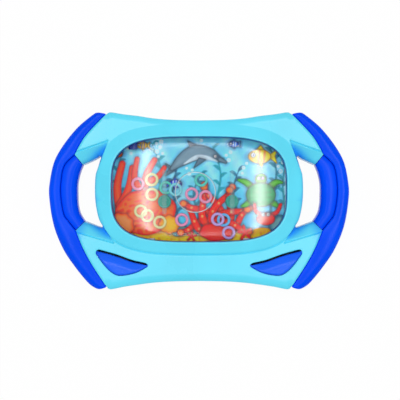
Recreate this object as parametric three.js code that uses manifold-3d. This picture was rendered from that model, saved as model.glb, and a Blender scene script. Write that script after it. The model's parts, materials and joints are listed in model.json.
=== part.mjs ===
import * as THREE from 'three';
import { mergeVertices } from 'three/addons/utils/BufferGeometryUtils.js';
import Module from 'manifold-3d';

// A hand-held water ring toss game, lying on its back.
// Millimetres, +Z up out of the window, +Y towards the top edge, +X to the right.
// The origin is the middle of the footprint, on the flat back.
const wasm = await Module();
wasm.setup();

// Overall sizes of the case.
const overallWidth = 240;
const overallHeight = 142;
const halfWidth = overallWidth / 2;
const halfHeight = overallHeight / 2;
const wall = 2;
const seam = 0.3;
const overrun = 5;

// Levels of the case above the back.
const partingLevel = 18.5;
const panelLevel = 31.5;
const surroundRise = 2.5;
const surroundWidth = 10;
const surroundSlope = 3;
// Middle of the surround's slope, as shares of its width and rise.
const surroundSlopeShares = { across: 0.333, up: 0.65 };
const frontRound = 4;
const backRound = 2.5;
const surroundLevel = panelLevel + surroundRise;

// Window and tank; the window keeps its shares of the case.
const windowWidthShare = 0.5833;
const windowHeightShare = 0.5887;
const windowCentreShare = 0.131;
const windowHalfWidth = windowWidthShare * halfWidth;
const windowHalfHeight = windowHeightShare * halfHeight;
const windowCentreY = windowCentreShare * halfHeight;
const windowExponent = 3.4;
const tankWall = 1.6;
const tankFloorLevel = 14.4;
const flangeReach = 4;
const flangeThickness = 1.5;
const gasketThickness = 1.1;
const lensThickness = 1.6;
const lensShoulder = 1.4;
const lensRise = 4.2;
// Innermost loop of the dome, as a share of the window, and loops between it and the rim.
const lensCrownShare = 0.08;
const lensSteps = 4;
const cardThickness = 0.5;

// Grips.
const gripLow = 5;
const gripHigh = 29;
const gripRound = 2.8;
const barInset = 1;
const barRound = 3.6;

// Slope of the arms down to the finger openings.
const facetDrop = 9;
// Thickness under the slope, in walls.
const facetWallShare = 1.5;

// Buttons and pumps.
const buttonClearance = 0.5;
const buttonProud = 1.6;
const buttonRound = 1.4;
const buttonFlange = 1.5;
const buttonFlangeThickness = 1.5;
const stemRadius = 4;
const stemLength = 4.8;
const pumpRadius = 9;
const pumpBaseThickness = 2.7;
const bellowsFold = 1.8;
const bellowsFolds = 4;
const hoseRadius = 2;
const nozzleRadius = 2.6;
const nozzleBore = 1;
const nozzleLength = 7.5;
const nozzleProud = 0.9;

// Pegs and rings.
const ringOuterDiameter = 10.9;
const ringInnerDiameter = 6.5;
const pegRadius = 1.9;
const pegLength = 35.5;
const pegTail = 10;
const pegBossRadius = 5.35;
const pegStandOff = 8.6;

// Filler.
const neckRadius = 3.6;
const neckBore = 2.2;
const plugHeadThickness = 2;
const plugStemLength = 8;
const neckProud = 4;
const fillerShare = -0.442;

// Screws and their bosses.
const screwShaftRadius = 1.25;
const screwHeadRadius = 2.7;
const screwHeadThickness = 1.8;
const screwLength = 16;
const screwWellDepth = 8;
const bossRadius = 3.4;
const bossWall = 1;
const ribThickness = 1.6;

// Sides of a round, and steps of a rounded edge.
const roundSides = 12;
const roundSteps = 2;
const sectionSides = 6;
const hoseSteps = 12;
const hoseSegments = 4;
const windowSides = 44;
// Vertices closer than this are one.
const mergeTolerance = 1e-4;
// Most of a side that a fillet takes at each of its ends.
const cornerShare = 0.35;

// Outlines of the left half, as shares of half the width and half the height.
const topEdgeShares = [
  [0, 0.907], [-0.167, 0.913], [-0.3, 0.93], [-0.4, 0.956], [-0.5, 0.976], [-0.571, 0.996],
];
const topCornerShares = [[-0.571, 0.996], [-0.596, 0.997], [-0.613, 0.98]];
const upperSeamShares = [[-0.613, 0.98], [-0.696, 0.838], [-0.765, 0.703], [-0.826, 0.521]];
const upperCutShares = [[-0.826, 0.521], [-0.775, 0.408]];
const openingTopShares = [[-0.775, 0.408], [-0.69, 0.475], [-0.662, 0.508], [-0.656, 0.49]];
const openingInnerShares = [
  [-0.656, 0.49], [-0.673, 0.408], [-0.688, 0.282], [-0.692, 0.106],
  [-0.686, -0.042], [-0.669, -0.183], [-0.645, -0.28],
];
const openingBottomShares = [[-0.645, -0.28], [-0.648, -0.3], [-0.675, -0.287], [-0.7625, -0.23]];
const lowerCutShares = [[-0.7625, -0.23], [-0.819, -0.331]];
const lowerSeamShares = [
  [-0.819, -0.331], [-0.78, -0.493], [-0.735, -0.645], [-0.675, -0.81], [-0.611, -0.97],
];
const bottomCornerShares = [[-0.611, -0.97], [-0.59, -0.995], [-0.5, -0.966]];
const bottomEdgeShares = [[-0.5, -0.966], [-0.4, -0.941], [-0.3, -0.92], [-0.167, -0.906], [0, -0.901]];
const bandTopShares = [[-0.613, 0.98], [-0.675, 0.999], [-0.715, 0.966]];
const bandOuterShares = [
  [-0.715, 0.966], [-0.8125, 0.828], [-0.906, 0.634], [-0.967, 0.444], [-0.997, 0.211], [-1, 0.03],
  [-0.97, -0.282], [-0.906, -0.549], [-0.825, -0.754], [-0.745, -0.918], [-0.7, -0.977],
];
const bandBottomShares = [[-0.7, -0.977], [-0.661, -0.996], [-0.611, -0.97]];
const barSeamShares = [
  [-0.826, 0.521], [-0.895, 0.401], [-0.919, 0.21], [-0.919, 0.042],
  [-0.899, -0.148], [-0.867, -0.231], [-0.819, -0.331],
];
const barInnerShares = [
  [-0.775, 0.408], [-0.797, 0.31], [-0.811, 0.2], [-0.8125, 0.08],
  [-0.809, -0.04], [-0.795, -0.14], [-0.7625, -0.23],
];
const buttonTopShares = [[-0.672, -0.546], [-0.554, -0.601], [-0.4425, -0.668], [-0.352, -0.702]];
const buttonRightShares = [[-0.352, -0.702], [-0.338, -0.728]];
const buttonBottomShares = [
  [-0.338, -0.728], [-0.42, -0.799], [-0.521, -0.831], [-0.571, -0.803], [-0.621, -0.724], [-0.683, -0.585],
];
const buttonLeftShares = [[-0.683, -0.585], [-0.672, -0.546]];
// Crease and low edge of each arm's slope, from the grip towards the window.
const upperFacetShares = {
  crease: [[-0.84, 0.535], [-0.605, 0.675]],
  edge: [[-0.81, 0.33], [-0.645, 0.5]],
};
const lowerFacetShares = {
  crease: [[-0.84, -0.335], [-0.565, -0.47]],
  edge: [[-0.8, -0.17], [-0.64, -0.285]],
};
// Places on the left half, in the same shares.
const pumpShares = [-0.517, -0.704];
const bossShares = [[-0.25, 0.839], [-0.7, 0.711], [-0.727, -0.486], [-0.167, -0.796]];
const nozzleShare = -0.317;
// Bends of the hose, as shares of the way from pump to nozzle across, along and up.
const hosePathShares = [[0.45, 0, 0], [0.9, 0.1, 0.35], [1, 0.6, 0.94]];
// Ribs across the back, as shares of the window's half sizes.
const ribShares = [-0.52, 0, 0.52];
const ribReachShare = 0.84;
// Pegs and rings stand in ring diameters from the middle of the window's low edge.
const pegShares = { left: [-2.543, 2.938], right: [2.434, 2.938] };
// Rings: colour, place, and layer.
const ringPlaceShares = [
  ['pink', -4.52, 4.245, 0], ['yellow', -3.495, 4.56, 0], ['yellow', -3.475, 3.468, 0],
  ['yellow', -4.312, 2.239, 0], ['yellow', -3.817, 1.908, 1], ['yellow', -2.899, 1.413, 0],
  ['pink', -1.275, 1.587, 0], ['pink', -0.541, 3.496, 0], ['pink', 0.486, 3.294, 0],
  ['teal', -2.45, 3.963, 0], ['cyan', -1.734, 3.817, 1], ['teal', 0.147, 4.523, 0],
  ['purple', 1.376, 1.633, 1], ['blue', 1.826, 1.578, 0], ['purple', 2.193, 0.635, 0],
];

// Materials.
const plastic = (color, roughness = 0.35) => (
  new THREE.MeshStandardMaterial({ color, roughness, metalness: 0 })
);
const clear = (color, opacity) => (
  new THREE.MeshStandardMaterial({ color, roughness: 0.08, transparent: true, opacity })
);
const caseBlue = plastic(0x68e6fd);
const gripBlue = plastic(0x0b50ff);
const clearWater = clear(0xe8fbff, 0.25);
const pegTeal = clear(0x2aa79c, 0.7);
const gasketBlue = plastic(0x1c62b8, 0.5);
const cardBlue = plastic(0x7fcdf0, 0.6);
const pumpWhite = plastic(0xe9eef2, 0.5);
const plugNavy = plastic(0x17358c, 0.6);
const screwSteel = new THREE.MeshStandardMaterial({ color: 0xb9bec4, roughness: 0.35, metalness: 0.9 });
const ringColours = {
  pink: plastic(0xf08bd0), yellow: plastic(0xe6e67a), teal: plastic(0x3fc2b4),
  cyan: plastic(0x58cfe0), purple: plastic(0xb48be6), blue: plastic(0x3f9fe6),
};

// Smooth run through share points, scaled to the case; straight where it has two points.
function run(shares, perSpan) {
  const points = shares.map(([x, y]) => new THREE.Vector2(x * halfWidth, y * halfHeight));
  if (points.length === 2) return points;
  return new THREE.SplineCurve(points).getPoints((points.length - 1) * perSpan);
}

// Joins runs end to end into one closed loop, leaving out each shared end.
function joinRuns(runs) {
  return runs.flatMap((points) => points.slice(0, -1));
}

function mirrorLoop(loop) {
  return loop.map((point) => new THREE.Vector2(-point.x, point.y)).reverse();
}

// Moves each side of a counter-clockwise loop inwards by a distance, meeting at mitred corners.
// At a sharp outer corner the distance is limited, so that its short sides don't cross.
function inset(loop, distance) {
  const count = loop.length;
  return loop.map((point, i) => {
    const before = new THREE.Vector2().subVectors(point, loop[(i + count - 1) % count]);
    const after = new THREE.Vector2().subVectors(loop[(i + 1) % count], point);
    const turn = Math.atan2(before.cross(after), before.dot(after));
    const shortSide = Math.min(before.length(), after.length());
    const limit = turn > 0 ? (cornerShare * shortSide) / Math.tan(turn / 2) : Infinity;
    const reach = Math.min(distance, limit) / Math.cos(turn / 2);
    const heading = before.angle() + turn / 2 + Math.PI / 2;
    return new THREE.Vector2(point.x + reach * Math.cos(heading), point.y + reach * Math.sin(heading));
  });
}

// Rounded rectangle of the window, a superellipse grown by a distance.
function windowLoop(grow) {
  const loop = [];
  for (let i = 0; i < windowSides; i += 1) {
    const angle = (2 * Math.PI * i) / windowSides;
    const power = 2 / windowExponent;
    const across = Math.sign(Math.cos(angle)) * Math.abs(Math.cos(angle)) ** power;
    const up = Math.sign(Math.sin(angle)) * Math.abs(Math.sin(angle)) ** power;
    const x = across * (windowHalfWidth + grow);
    const y = windowCentreY + up * (windowHalfHeight + grow);
    loop.push(new THREE.Vector2(x, y));
  }
  return loop;
}

// The window's loop shrunk towards its centre by a share.
function windowScaled(grow, share) {
  const centre = new THREE.Vector2(0, windowCentreY);
  return windowLoop(grow).map((point) => point.sub(centre).multiplyScalar(share).add(centre));
}

function solidFromArrays(positions, triangles) {
  const mesh = new wasm.Mesh({
    numProp: 3,
    vertProperties: new Float32Array(positions),
    triVerts: new Uint32Array(triangles),
  });
  return new wasm.Manifold(mesh);
}

// Solid skinned over loops of the same count, each at its level.
// Its flat ends are cut into triangles as the outline is.
function loft(layers, outline = layers[0].loop) {
  const count = layers[0].loop.length;
  const positions = [];
  for (const { loop, level } of layers) for (const point of loop) positions.push(point.x, point.y, level);
  const triangles = [];
  for (let k = 0; k + 1 < layers.length; k += 1) {
    for (let i = 0; i < count; i += 1) {
      const a = k * count + i;
      const b = k * count + ((i + 1) % count);
      triangles.push(a, b, b + count, a, b + count, a + count);
    }
  }
  const last = (layers.length - 1) * count;
  for (const [a, b, c] of THREE.ShapeUtils.triangulateShape(outline, [])) {
    triangles.push(a, c, b);
    triangles.push(last + a, last + b, last + c);
  }
  return solidFromArrays(positions, triangles);
}

// Straight prism on a loop.
function prism(loop, low, high) {
  return loft([{ loop, level: low }, { loop, level: high }]);
}

// Block on a loop with quarter-round edges at its bottom, its top, or both; a round of zero is square.
function roundedBlock(loop, low, high, { lowRound = 0, highRound = 0 }) {
  const lowSteps = lowRound > 0 ? roundSteps : 0;
  const highSteps = highRound > 0 ? roundSteps : 0;
  const layers = [];
  for (let i = 0; i <= lowSteps; i += 1) {
    const angle = (Math.PI / 2) * (lowSteps > 0 ? i / lowSteps : 1);
    layers.push({
      loop: inset(loop, lowRound * (1 - Math.sin(angle))),
      level: low + lowRound * (1 - Math.cos(angle)),
    });
  }
  for (let i = 0; i <= highSteps; i += 1) {
    const angle = (Math.PI / 2) * (highSteps > 0 ? i / highSteps : 0);
    layers.push({
      loop: inset(loop, highRound * (1 - Math.cos(angle))),
      level: high - highRound * (1 - Math.sin(angle)),
    });
  }
  return loft(layers, loop);
}

// Closed solid of a three.js geometry, with its vertices merged and collapsed triangles left out.
function solidOf(geometry) {
  const bare = geometry.clone();
  bare.deleteAttribute('normal');
  bare.deleteAttribute('uv');
  const merged = mergeVertices(bare, mergeTolerance);
  const index = merged.index.array;
  const triangles = [];
  for (let i = 0; i < index.length; i += 3) {
    const [a, b, c] = [index[i], index[i + 1], index[i + 2]];
    if (a !== b && b !== c && c !== a) triangles.push(a, b, c);
  }
  return solidFromArrays(merged.attributes.position.array, triangles);
}

// Upright round bar between two levels.
function pillar(x, y, radius, low, high) {
  const geometry = new THREE.CylinderGeometry(radius, radius, high - low, roundSides);
  geometry.rotateX(Math.PI / 2);
  geometry.translate(x, y, (low + high) / 2);
  return solidOf(geometry);
}

// Round bar along Y between two places.
function lyingBar(x, z, radius, from, to) {
  const geometry = new THREE.CylinderGeometry(radius, radius, to - from, roundSides);
  geometry.translate(x, (from + to) / 2, z);
  return solidOf(geometry);
}

function block(x, y, z, width, depth, height) {
  const geometry = new THREE.BoxGeometry(width, depth, height);
  geometry.translate(x, y, z);
  return solidOf(geometry);
}

// Turned solid about an upright axis, from a closed profile of radius and level.
function turned(x, y, profile) {
  const points = profile.map(([radius, level]) => new THREE.Vector2(radius, level));
  const geometry = new THREE.LatheGeometry(points, roundSides);
  geometry.rotateX(Math.PI / 2);
  geometry.translate(x, y, 0);
  return solidOf(geometry);
}

// Wedge above the slope that falls from a crease line to an edge line, lengthened at its inner end.
function facetWedge(facet, side, topLevel, edgeLevel, reach) {
  const place = ([x, y]) => new THREE.Vector2(side * x * halfWidth, y * halfHeight);
  const [a, b, c, d] = [facet.crease, facet.edge].flatMap((line) => {
    const [from, to] = line.map(place);
    return [from.toArray(), to.clone().sub(from).setLength(reach).add(to).toArray()];
  });
  const corners = [
    [...a, topLevel], [...b, topLevel],
    [...c, edgeLevel], [...d, edgeLevel],
    [...c, topLevel + overrun], [...d, topLevel + overrun],
  ];
  const triangles = [
    [0, 2, 4], [1, 5, 3], [0, 1, 3], [0, 3, 2], [2, 3, 5], [2, 5, 4], [0, 4, 5], [0, 5, 1],
  ];
  const turn = (b[0] - a[0]) * (c[1] - a[1]) - (b[1] - a[1]) * (c[0] - a[0]);
  const outward = turn > 0 ? triangles.map((triangle) => triangle.reverse()) : triangles;
  return solidFromArrays(corners.flat(), outward.flat());
}

// Joins and cuts lists of solids.
const join = (solids) => solids.reduce((sum, solid) => sum.add(solid));
const cut = (solid, cutters) => cutters.reduce((rest, cutter) => rest.subtract(cutter), solid);

// Both sides of the case, with the left one as drawn.
const sides = [1, -1];
const mirrorPlaces = (shares) => (
  sides.flatMap((side) => shares.map(([x, y]) => [side * x * halfWidth, y * halfHeight]))
);

// Loops.
const leftBodyRuns = [
  run(topEdgeShares, 1), run(topCornerShares, 1), run(upperSeamShares, 2), run(upperCutShares, 1),
  run(openingTopShares, 1), run(openingInnerShares, 1), run(openingBottomShares, 1), run(lowerCutShares, 1),
  run(lowerSeamShares, 2), run(bottomCornerShares, 1), run(bottomEdgeShares, 1),
];
const leftHalf = joinRuns(leftBodyRuns);
const bottomMiddle = leftBodyRuns[leftBodyRuns.length - 1].slice(-1);
const rightHalf = mirrorLoop(leftHalf.slice(1));
const bodyLoop = inset([...leftHalf, ...bottomMiddle, ...rightHalf], seam / 2);
const bandOuter = joinRuns([run(bandTopShares, 1), run(bandOuterShares, 2), run(bandBottomShares, 1)]);
const bandInner = [lowerSeamShares, barSeamShares, upperSeamShares].map((shares) => run(shares, 2).reverse());
const bandLoop = inset([...bandOuter, ...joinRuns(bandInner)], seam / 2);
const barInner = run(barInnerShares, 1).reverse();
const barLoop = inset([...run(barSeamShares, 2), ...barInner], seam / 2);
const buttonRuns = [
  run(buttonTopShares, 2), run(buttonRightShares, 1), run(buttonBottomShares, 2), run(buttonLeftShares, 1),
];
const buttonLoop = joinRuns(buttonRuns).reverse();
const buttonLoops = [buttonLoop, mirrorLoop(buttonLoop)];
const bossPlaces = mirrorPlaces(bossShares);

// Levels that follow from the sizes.
const surroundUnderside = surroundLevel - wall;
const lensFlangeTop = surroundUnderside - seam;
const lensFlangeLow = lensFlangeTop - flangeThickness;
const gasketTop = lensFlangeLow - seam;
const gasketLow = gasketTop - gasketThickness;
const tankFlangeTop = gasketLow - seam;
const tankFlangeLow = tankFlangeTop - flangeThickness;
const tankUnderside = tankFloorLevel - tankWall;
const cardTop = tankUnderside - seam;
const cardLow = cardTop - cardThickness;
const panelUnderside = panelLevel - wall;
const frontLow = partingLevel + seam / 2;
const rearHigh = partingLevel - seam / 2;
const buttonFlangeTop = panelUnderside - seam;
const buttonFlangeLow = buttonFlangeTop - buttonFlangeThickness;
const stemLow = buttonFlangeLow - stemLength;
const pumpLow = wall + seam;
const pumpTop = pumpLow + pumpBaseThickness;
const bellowsLow = pumpTop + seam;
const bellowsTop = stemLow - seam;
const fillerX = fillerShare * halfWidth;
const pumpX = pumpShares[0] * halfWidth;
const pumpY = pumpShares[1] * halfHeight;
const nozzleX = nozzleShare * halfWidth;
const nozzleInnerY = windowCentreY - windowReachAt(nozzleX) + nozzleProud;
const nozzleOuterY = nozzleInnerY - nozzleLength;
const neckInnerY = windowCentreY + windowReachAt(fillerX) - neckProud;
const topEdgeY = fillerTopY();
const neckOuterY = topEdgeY - plugHeadThickness - seam;
const wellRadius = screwHeadRadius + seam + seam;
const screwHole = screwShaftRadius + seam;

// Height of the top edge above the filler, by straight lines between the loop's points.
function fillerTopY() {
  const above = bodyLoop.filter((point) => point.y > windowCentreY + windowHalfHeight);
  const left = above.filter((point) => point.x <= fillerX).sort((p, q) => q.x - p.x)[0];
  const right = above.filter((point) => point.x > fillerX).sort((p, q) => p.x - q.x)[0];
  return THREE.MathUtils.mapLinear(fillerX, left.x, right.x, left.y, right.y);
}

// Hole for the filler neck through the case, half in each shell.
function fillerHole(radius) {
  return lyingBar(fillerX, partingLevel, radius, windowCentreY, topEdgeY + overrun);
}

function facetWedges(lower) {
  return sides.flatMap((side) => [upperFacetShares, lowerFacetShares].map((facet) => (
    facetWedge(facet, side, panelLevel - lower, panelLevel - facetDrop - lower, lower)
  )));
}

function frontShell() {
  const panel = roundedBlock(bodyLoop, frontLow, panelLevel, { highRound: frontRound });
  const surround = loft([
    { loop: windowLoop(surroundWidth), level: panelLevel - frontRound },
    { loop: windowLoop(surroundWidth), level: panelLevel },
    {
      loop: windowLoop(surroundWidth - surroundSlope * surroundSlopeShares.across),
      level: panelLevel + surroundRise * surroundSlopeShares.up,
    },
    { loop: windowLoop(surroundWidth - surroundSlope), level: surroundLevel },
  ]);
  const skin = cut(join([panel, surround]), facetWedges(0));
  const spaceRound = { highRound: frontRound - wall };
  const space = roundedBlock(inset(bodyLoop, wall), frontLow - overrun, panelUnderside, spaceRound);
  const hollow = cut(space, facetWedges(wall * facetWallShare));
  const lensRoom = prism(windowLoop(flangeReach + seam * 2), panelUnderside - wall, surroundUnderside);
  const opening = prism(windowLoop(0), panelUnderside, surroundLevel + overrun);
  const buttonHoles = buttonLoops.map((loop) => (
    prism(inset(loop, -buttonClearance), panelUnderside - wall, panelLevel + overrun)
  ));
  const shell = cut(skin, [hollow, lensRoom, opening]);
  const bosses = bossPlaces.map(([x, y]) => pillar(x, y, bossRadius, frontLow, panelUnderside + wall / 2));
  const pilotHigh = panelUnderside - wall;
  const pilots = bossPlaces.map(([x, y]) => pillar(x, y, screwHole, frontLow - overrun, pilotHigh));
  return cut(join([shell, ...bosses]), [...buttonHoles, ...pilots, fillerHole(neckRadius + seam)]);
}

function rearShell() {
  const outer = roundedBlock(bodyLoop, 0, rearHigh, { lowRound: backRound });
  const hollowRound = { lowRound: backRound - wall / 2 };
  const hollow = roundedBlock(inset(bodyLoop, wall), wall, rearHigh + overrun, hollowRound);
  const bosses = bossPlaces.map(([x, y]) => pillar(x, y, bossRadius + bossWall, wall / 2, rearHigh));
  const ribHigh = cardLow - seam;
  const ribs = ribShares.map((share) => block(
    share * windowHalfWidth, windowCentreY, (ribHigh + wall / 2) / 2,
    ribThickness, 2 * ribReachShare * windowHalfHeight, ribHigh - wall / 2,
  ));
  const wells = bossPlaces.map(([x, y]) => pillar(x, y, wellRadius, -overrun, screwWellDepth));
  const holes = bossPlaces.map(([x, y]) => pillar(x, y, screwHole, 0, rearHigh + overrun));
  const shell = cut(outer, [hollow]);
  return cut(join([shell, ...bosses, ...ribs]), [...wells, ...holes, fillerHole(neckRadius + seam)]);
}

// Clear tray that holds the water, with a flange round its mouth and holes for neck and nozzles.
function waterTank() {
  const cup = prism(windowLoop(tankWall), tankUnderside, tankFlangeTop);
  const flange = prism(windowLoop(flangeReach), tankFlangeLow, tankFlangeTop);
  const space = prism(windowLoop(0), tankFloorLevel, tankFlangeTop + overrun);
  const ports = sides.map((side) => lyingBar(
    side * nozzleX, partingLevel, nozzleRadius + seam, nozzleInnerY - overrun * 2, nozzleInnerY + overrun,
  ));
  return cut(join([cup, flange]), [space, fillerHole(neckRadius + seam), ...ports]);
}

function windowLens() {
  const lensSize = -seam;
  const shoulder = surroundUnderside + lensShoulder;
  const dome = (lift) => {
    const rings = [];
    for (let i = 0; i <= lensSteps; i += 1) {
      const share = lensCrownShare + ((1 - lensCrownShare) * i) / lensSteps;
      rings.push({ share, level: shoulder + lift + lensRise * (1 - share ** 2) });
    }
    return rings;
  };
  const skinned = (rings, grow) => (
    rings.map(({ share, level }) => ({ loop: windowScaled(grow, share), level }))
  );
  const inside = skinned(dome(-lensThickness), -lensThickness);
  const outside = skinned(dome(0).reverse(), lensSize);
  const rim = [
    { loop: windowLoop(-lensThickness), level: lensFlangeLow },
    { loop: windowLoop(flangeReach), level: lensFlangeLow },
    { loop: windowLoop(flangeReach), level: lensFlangeTop },
    { loop: windowLoop(lensSize), level: lensFlangeTop },
  ];
  return loft([...inside, ...rim, ...outside]);
}

function windowGasket() {
  const outer = prism(windowLoop(flangeReach), gasketLow, gasketTop);
  return cut(outer, [prism(windowLoop(0), gasketLow - overrun, gasketTop + overrun)]);
}

function backdropPrint() {
  return prism(windowLoop(tankWall), cardLow, cardTop);
}

// Peg lying along Y on an upright boss, about its boss centre on the tank floor.
function peg() {
  const tip = pegLength - pegTail;
  const tipRadius = pegRadius / 2;
  const profile = [
    [0, -pegTail], [pegRadius, -pegTail], [pegRadius, tip - tipRadius], [tipRadius, tip], [0, tip],
  ];
  const geometry = new THREE.LatheGeometry(profile.map((point) => new THREE.Vector2(...point)), roundSides);
  geometry.translate(0, 0, pegStandOff);
  return join([solidOf(geometry), pillar(0, 0, pegBossRadius, 0, pegStandOff)]);
}

function button() {
  const cap = roundedBlock(buttonLoop, buttonFlangeLow, panelLevel + buttonProud, { highRound: buttonRound });
  const flange = prism(inset(buttonLoop, -buttonFlange), buttonFlangeLow, buttonFlangeTop);
  const stem = pillar(pumpX, pumpY, stemRadius, stemLow, buttonFlangeLow + buttonFlangeThickness / 2);
  return join([cap, flange, stem]);
}

// Rubber bulb with folds, closed at both ends.
function bellows() {
  const height = bellowsTop - bellowsLow;
  const profile = [[0, bellowsLow]];
  for (let i = 0; i <= bellowsFolds * 2; i += 1) {
    const radius = i % 2 === 0 ? pumpRadius - bellowsFold : pumpRadius;
    profile.push([radius, bellowsLow + (height * i) / (bellowsFolds * 2)]);
  }
  profile.push([0, bellowsTop]);
  return turned(pumpX, pumpY, profile);
}

function pumpBase() {
  return pillar(pumpX, pumpY, pumpRadius + seam, pumpLow, pumpTop);
}

// Short hose from the pump's foot up to the nozzle's outer end.
function hose() {
  const start = new THREE.Vector3(pumpX + pumpRadius + seam * 2, pumpY, pumpLow + hoseRadius);
  const end = new THREE.Vector3(nozzleX, nozzleOuterY - seam, partingLevel);
  const whole = end.clone().sub(start);
  const bends = hosePathShares.map((shares) => new THREE.Vector3(...shares).multiply(whole).add(start));
  const curve = new THREE.CatmullRomCurve3([start, ...bends, end]);
  const section = new THREE.Shape().absarc(0, 0, hoseRadius, 0, Math.PI * 2);
  const sweep = { steps: hoseSteps, extrudePath: curve, curveSegments: hoseSegments };
  const geometry = new THREE.ExtrudeGeometry(section, sweep);
  return solidOf(geometry);
}

function nozzle() {
  const tube = lyingBar(nozzleX, partingLevel, nozzleRadius, nozzleOuterY, nozzleInnerY);
  const bore = lyingBar(nozzleX, partingLevel, nozzleBore, nozzleOuterY - overrun, nozzleInnerY + overrun);
  return cut(tube, [bore]);
}

function fillerNeck() {
  const tube = lyingBar(fillerX, partingLevel, neckRadius, neckInnerY, neckOuterY);
  return cut(tube, [lyingBar(fillerX, partingLevel, neckBore, neckInnerY - overrun, neckOuterY + overrun)]);
}

function fillerPlug() {
  const headLow = neckOuterY + seam;
  const head = lyingBar(fillerX, partingLevel, neckRadius, headLow, headLow + plugHeadThickness);
  const stemLowY = headLow - plugStemLength;
  const stem = lyingBar(fillerX, partingLevel, neckBore - seam, stemLowY, headLow + plugHeadThickness / 2);
  return join([head, stem]);
}

// Screw standing on its axis, with its head down in the well of the back.
function caseScrew() {
  const headTop = screwWellDepth - seam;
  return join([
    pillar(0, 0, screwHeadRadius, headTop - screwHeadThickness, headTop),
    pillar(0, 0, screwShaftRadius, headTop - screwHeadThickness / 2, headTop + screwLength),
  ]);
}

function ring() {
  const tube = (ringOuterDiameter - ringInnerDiameter) / 4;
  const geometry = new THREE.TorusGeometry(ringOuterDiameter / 2 - tube, tube, sectionSides, roundSides);
  return solidOf(geometry);
}

// Half height of the window's loop at a distance from its centre line.
function windowReachAt(x) {
  return windowHalfHeight * (1 - Math.abs(x / windowHalfWidth) ** windowExponent) ** (1 / windowExponent);
}

// Place in ring diameters from the middle of the window's low edge.
function placeInWindow([across, up]) {
  return [across * ringOuterDiameter, windowCentreY - windowHalfHeight + up * ringOuterDiameter];
}

const game = new THREE.Group();

function geometryOf(solid) {
  const mesh = solid.getMesh();
  const geometry = new THREE.BufferGeometry();
  geometry.setAttribute('position', new THREE.BufferAttribute(mesh.vertProperties, 3));
  geometry.setIndex(new THREE.BufferAttribute(mesh.triVerts, 1));
  geometry.computeVertexNormals();
  return geometry;
}

function addPiece(name, geometry, material) {
  const mesh = new THREE.Mesh(geometry, material);
  mesh.name = name;
  game.add(mesh);
  return mesh;
}

// One piece on the left and its mirror image on the right.
function addPair(name, solid, material) {
  const geometry = geometryOf(solid);
  addPiece(`left_${name}`, geometry, material);
  addPiece(`right_${name}`, geometry, material).scale.x = -1;
}

addPiece('front_shell', geometryOf(frontShell()), caseBlue);
addPiece('rear_shell', geometryOf(rearShell()), caseBlue);
addPiece('water_tank', geometryOf(waterTank()), clearWater);
addPiece('window_lens', geometryOf(windowLens()), clearWater);
addPiece('window_gasket', geometryOf(windowGasket()), gasketBlue);
addPiece('backdrop_print', geometryOf(backdropPrint()), cardBlue);
addPiece('filler_neck', geometryOf(fillerNeck()), plugNavy);
addPiece('filler_plug', geometryOf(fillerPlug()), plugNavy);

const screwGeometry = geometryOf(caseScrew());
bossPlaces.forEach(([x, y], i) => {
  addPiece(`case_screw_${i + 1}`, screwGeometry, screwSteel).position.set(x, y, 0);
});

const bandRounds = { lowRound: gripRound, highRound: gripRound };
addPair('grip_band', roundedBlock(bandLoop, gripLow, gripHigh, bandRounds), gripBlue);
const barRounds = { lowRound: barRound, highRound: barRound };
addPair('grip_bar', roundedBlock(barLoop, gripLow + barInset, gripHigh - barInset, barRounds), gripBlue);
addPair('button', button(), gripBlue);
addPair('pump_bellows', bellows(), pumpWhite);
addPair('pump_base', pumpBase(), pumpWhite);
addPair('pump_hose', hose(), pumpWhite);
addPair('nozzle', nozzle(), pumpWhite);

const pegGeometry = geometryOf(peg());
for (const [side, shares] of Object.entries(pegShares)) {
  const [x, y] = placeInWindow(shares);
  addPiece(`${side}_peg`, pegGeometry, pegTeal).position.set(x, y, tankFloorLevel + seam);
}

const ringGeometry = geometryOf(ring());
const ringThickness = (ringOuterDiameter - ringInnerDiameter) / 2;
const ringCounts = {};
for (const [colour, across, up, layer] of ringPlaceShares) {
  ringCounts[colour] = (ringCounts[colour] ?? 0) + 1;
  const [x, y] = placeInWindow([across, up]);
  const level = tankFloorLevel + seam + ringThickness / 2 + layer * (ringThickness + seam);
  const name = `ring_${colour}_${ringCounts[colour]}`;
  addPiece(name, ringGeometry, ringColours[colour]).position.set(x, y, level);
}

export default game;
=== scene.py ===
"""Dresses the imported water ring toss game: smooth case, grips, domed window, printed sea, rings and stage."""

import json

import bmesh
import bpy
import numpy as np
from bpy.props import FloatProperty, FloatVectorProperty, IntProperty, PointerProperty
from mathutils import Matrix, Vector
from mathutils.geometry import delaunay_2d_cdt

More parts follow.
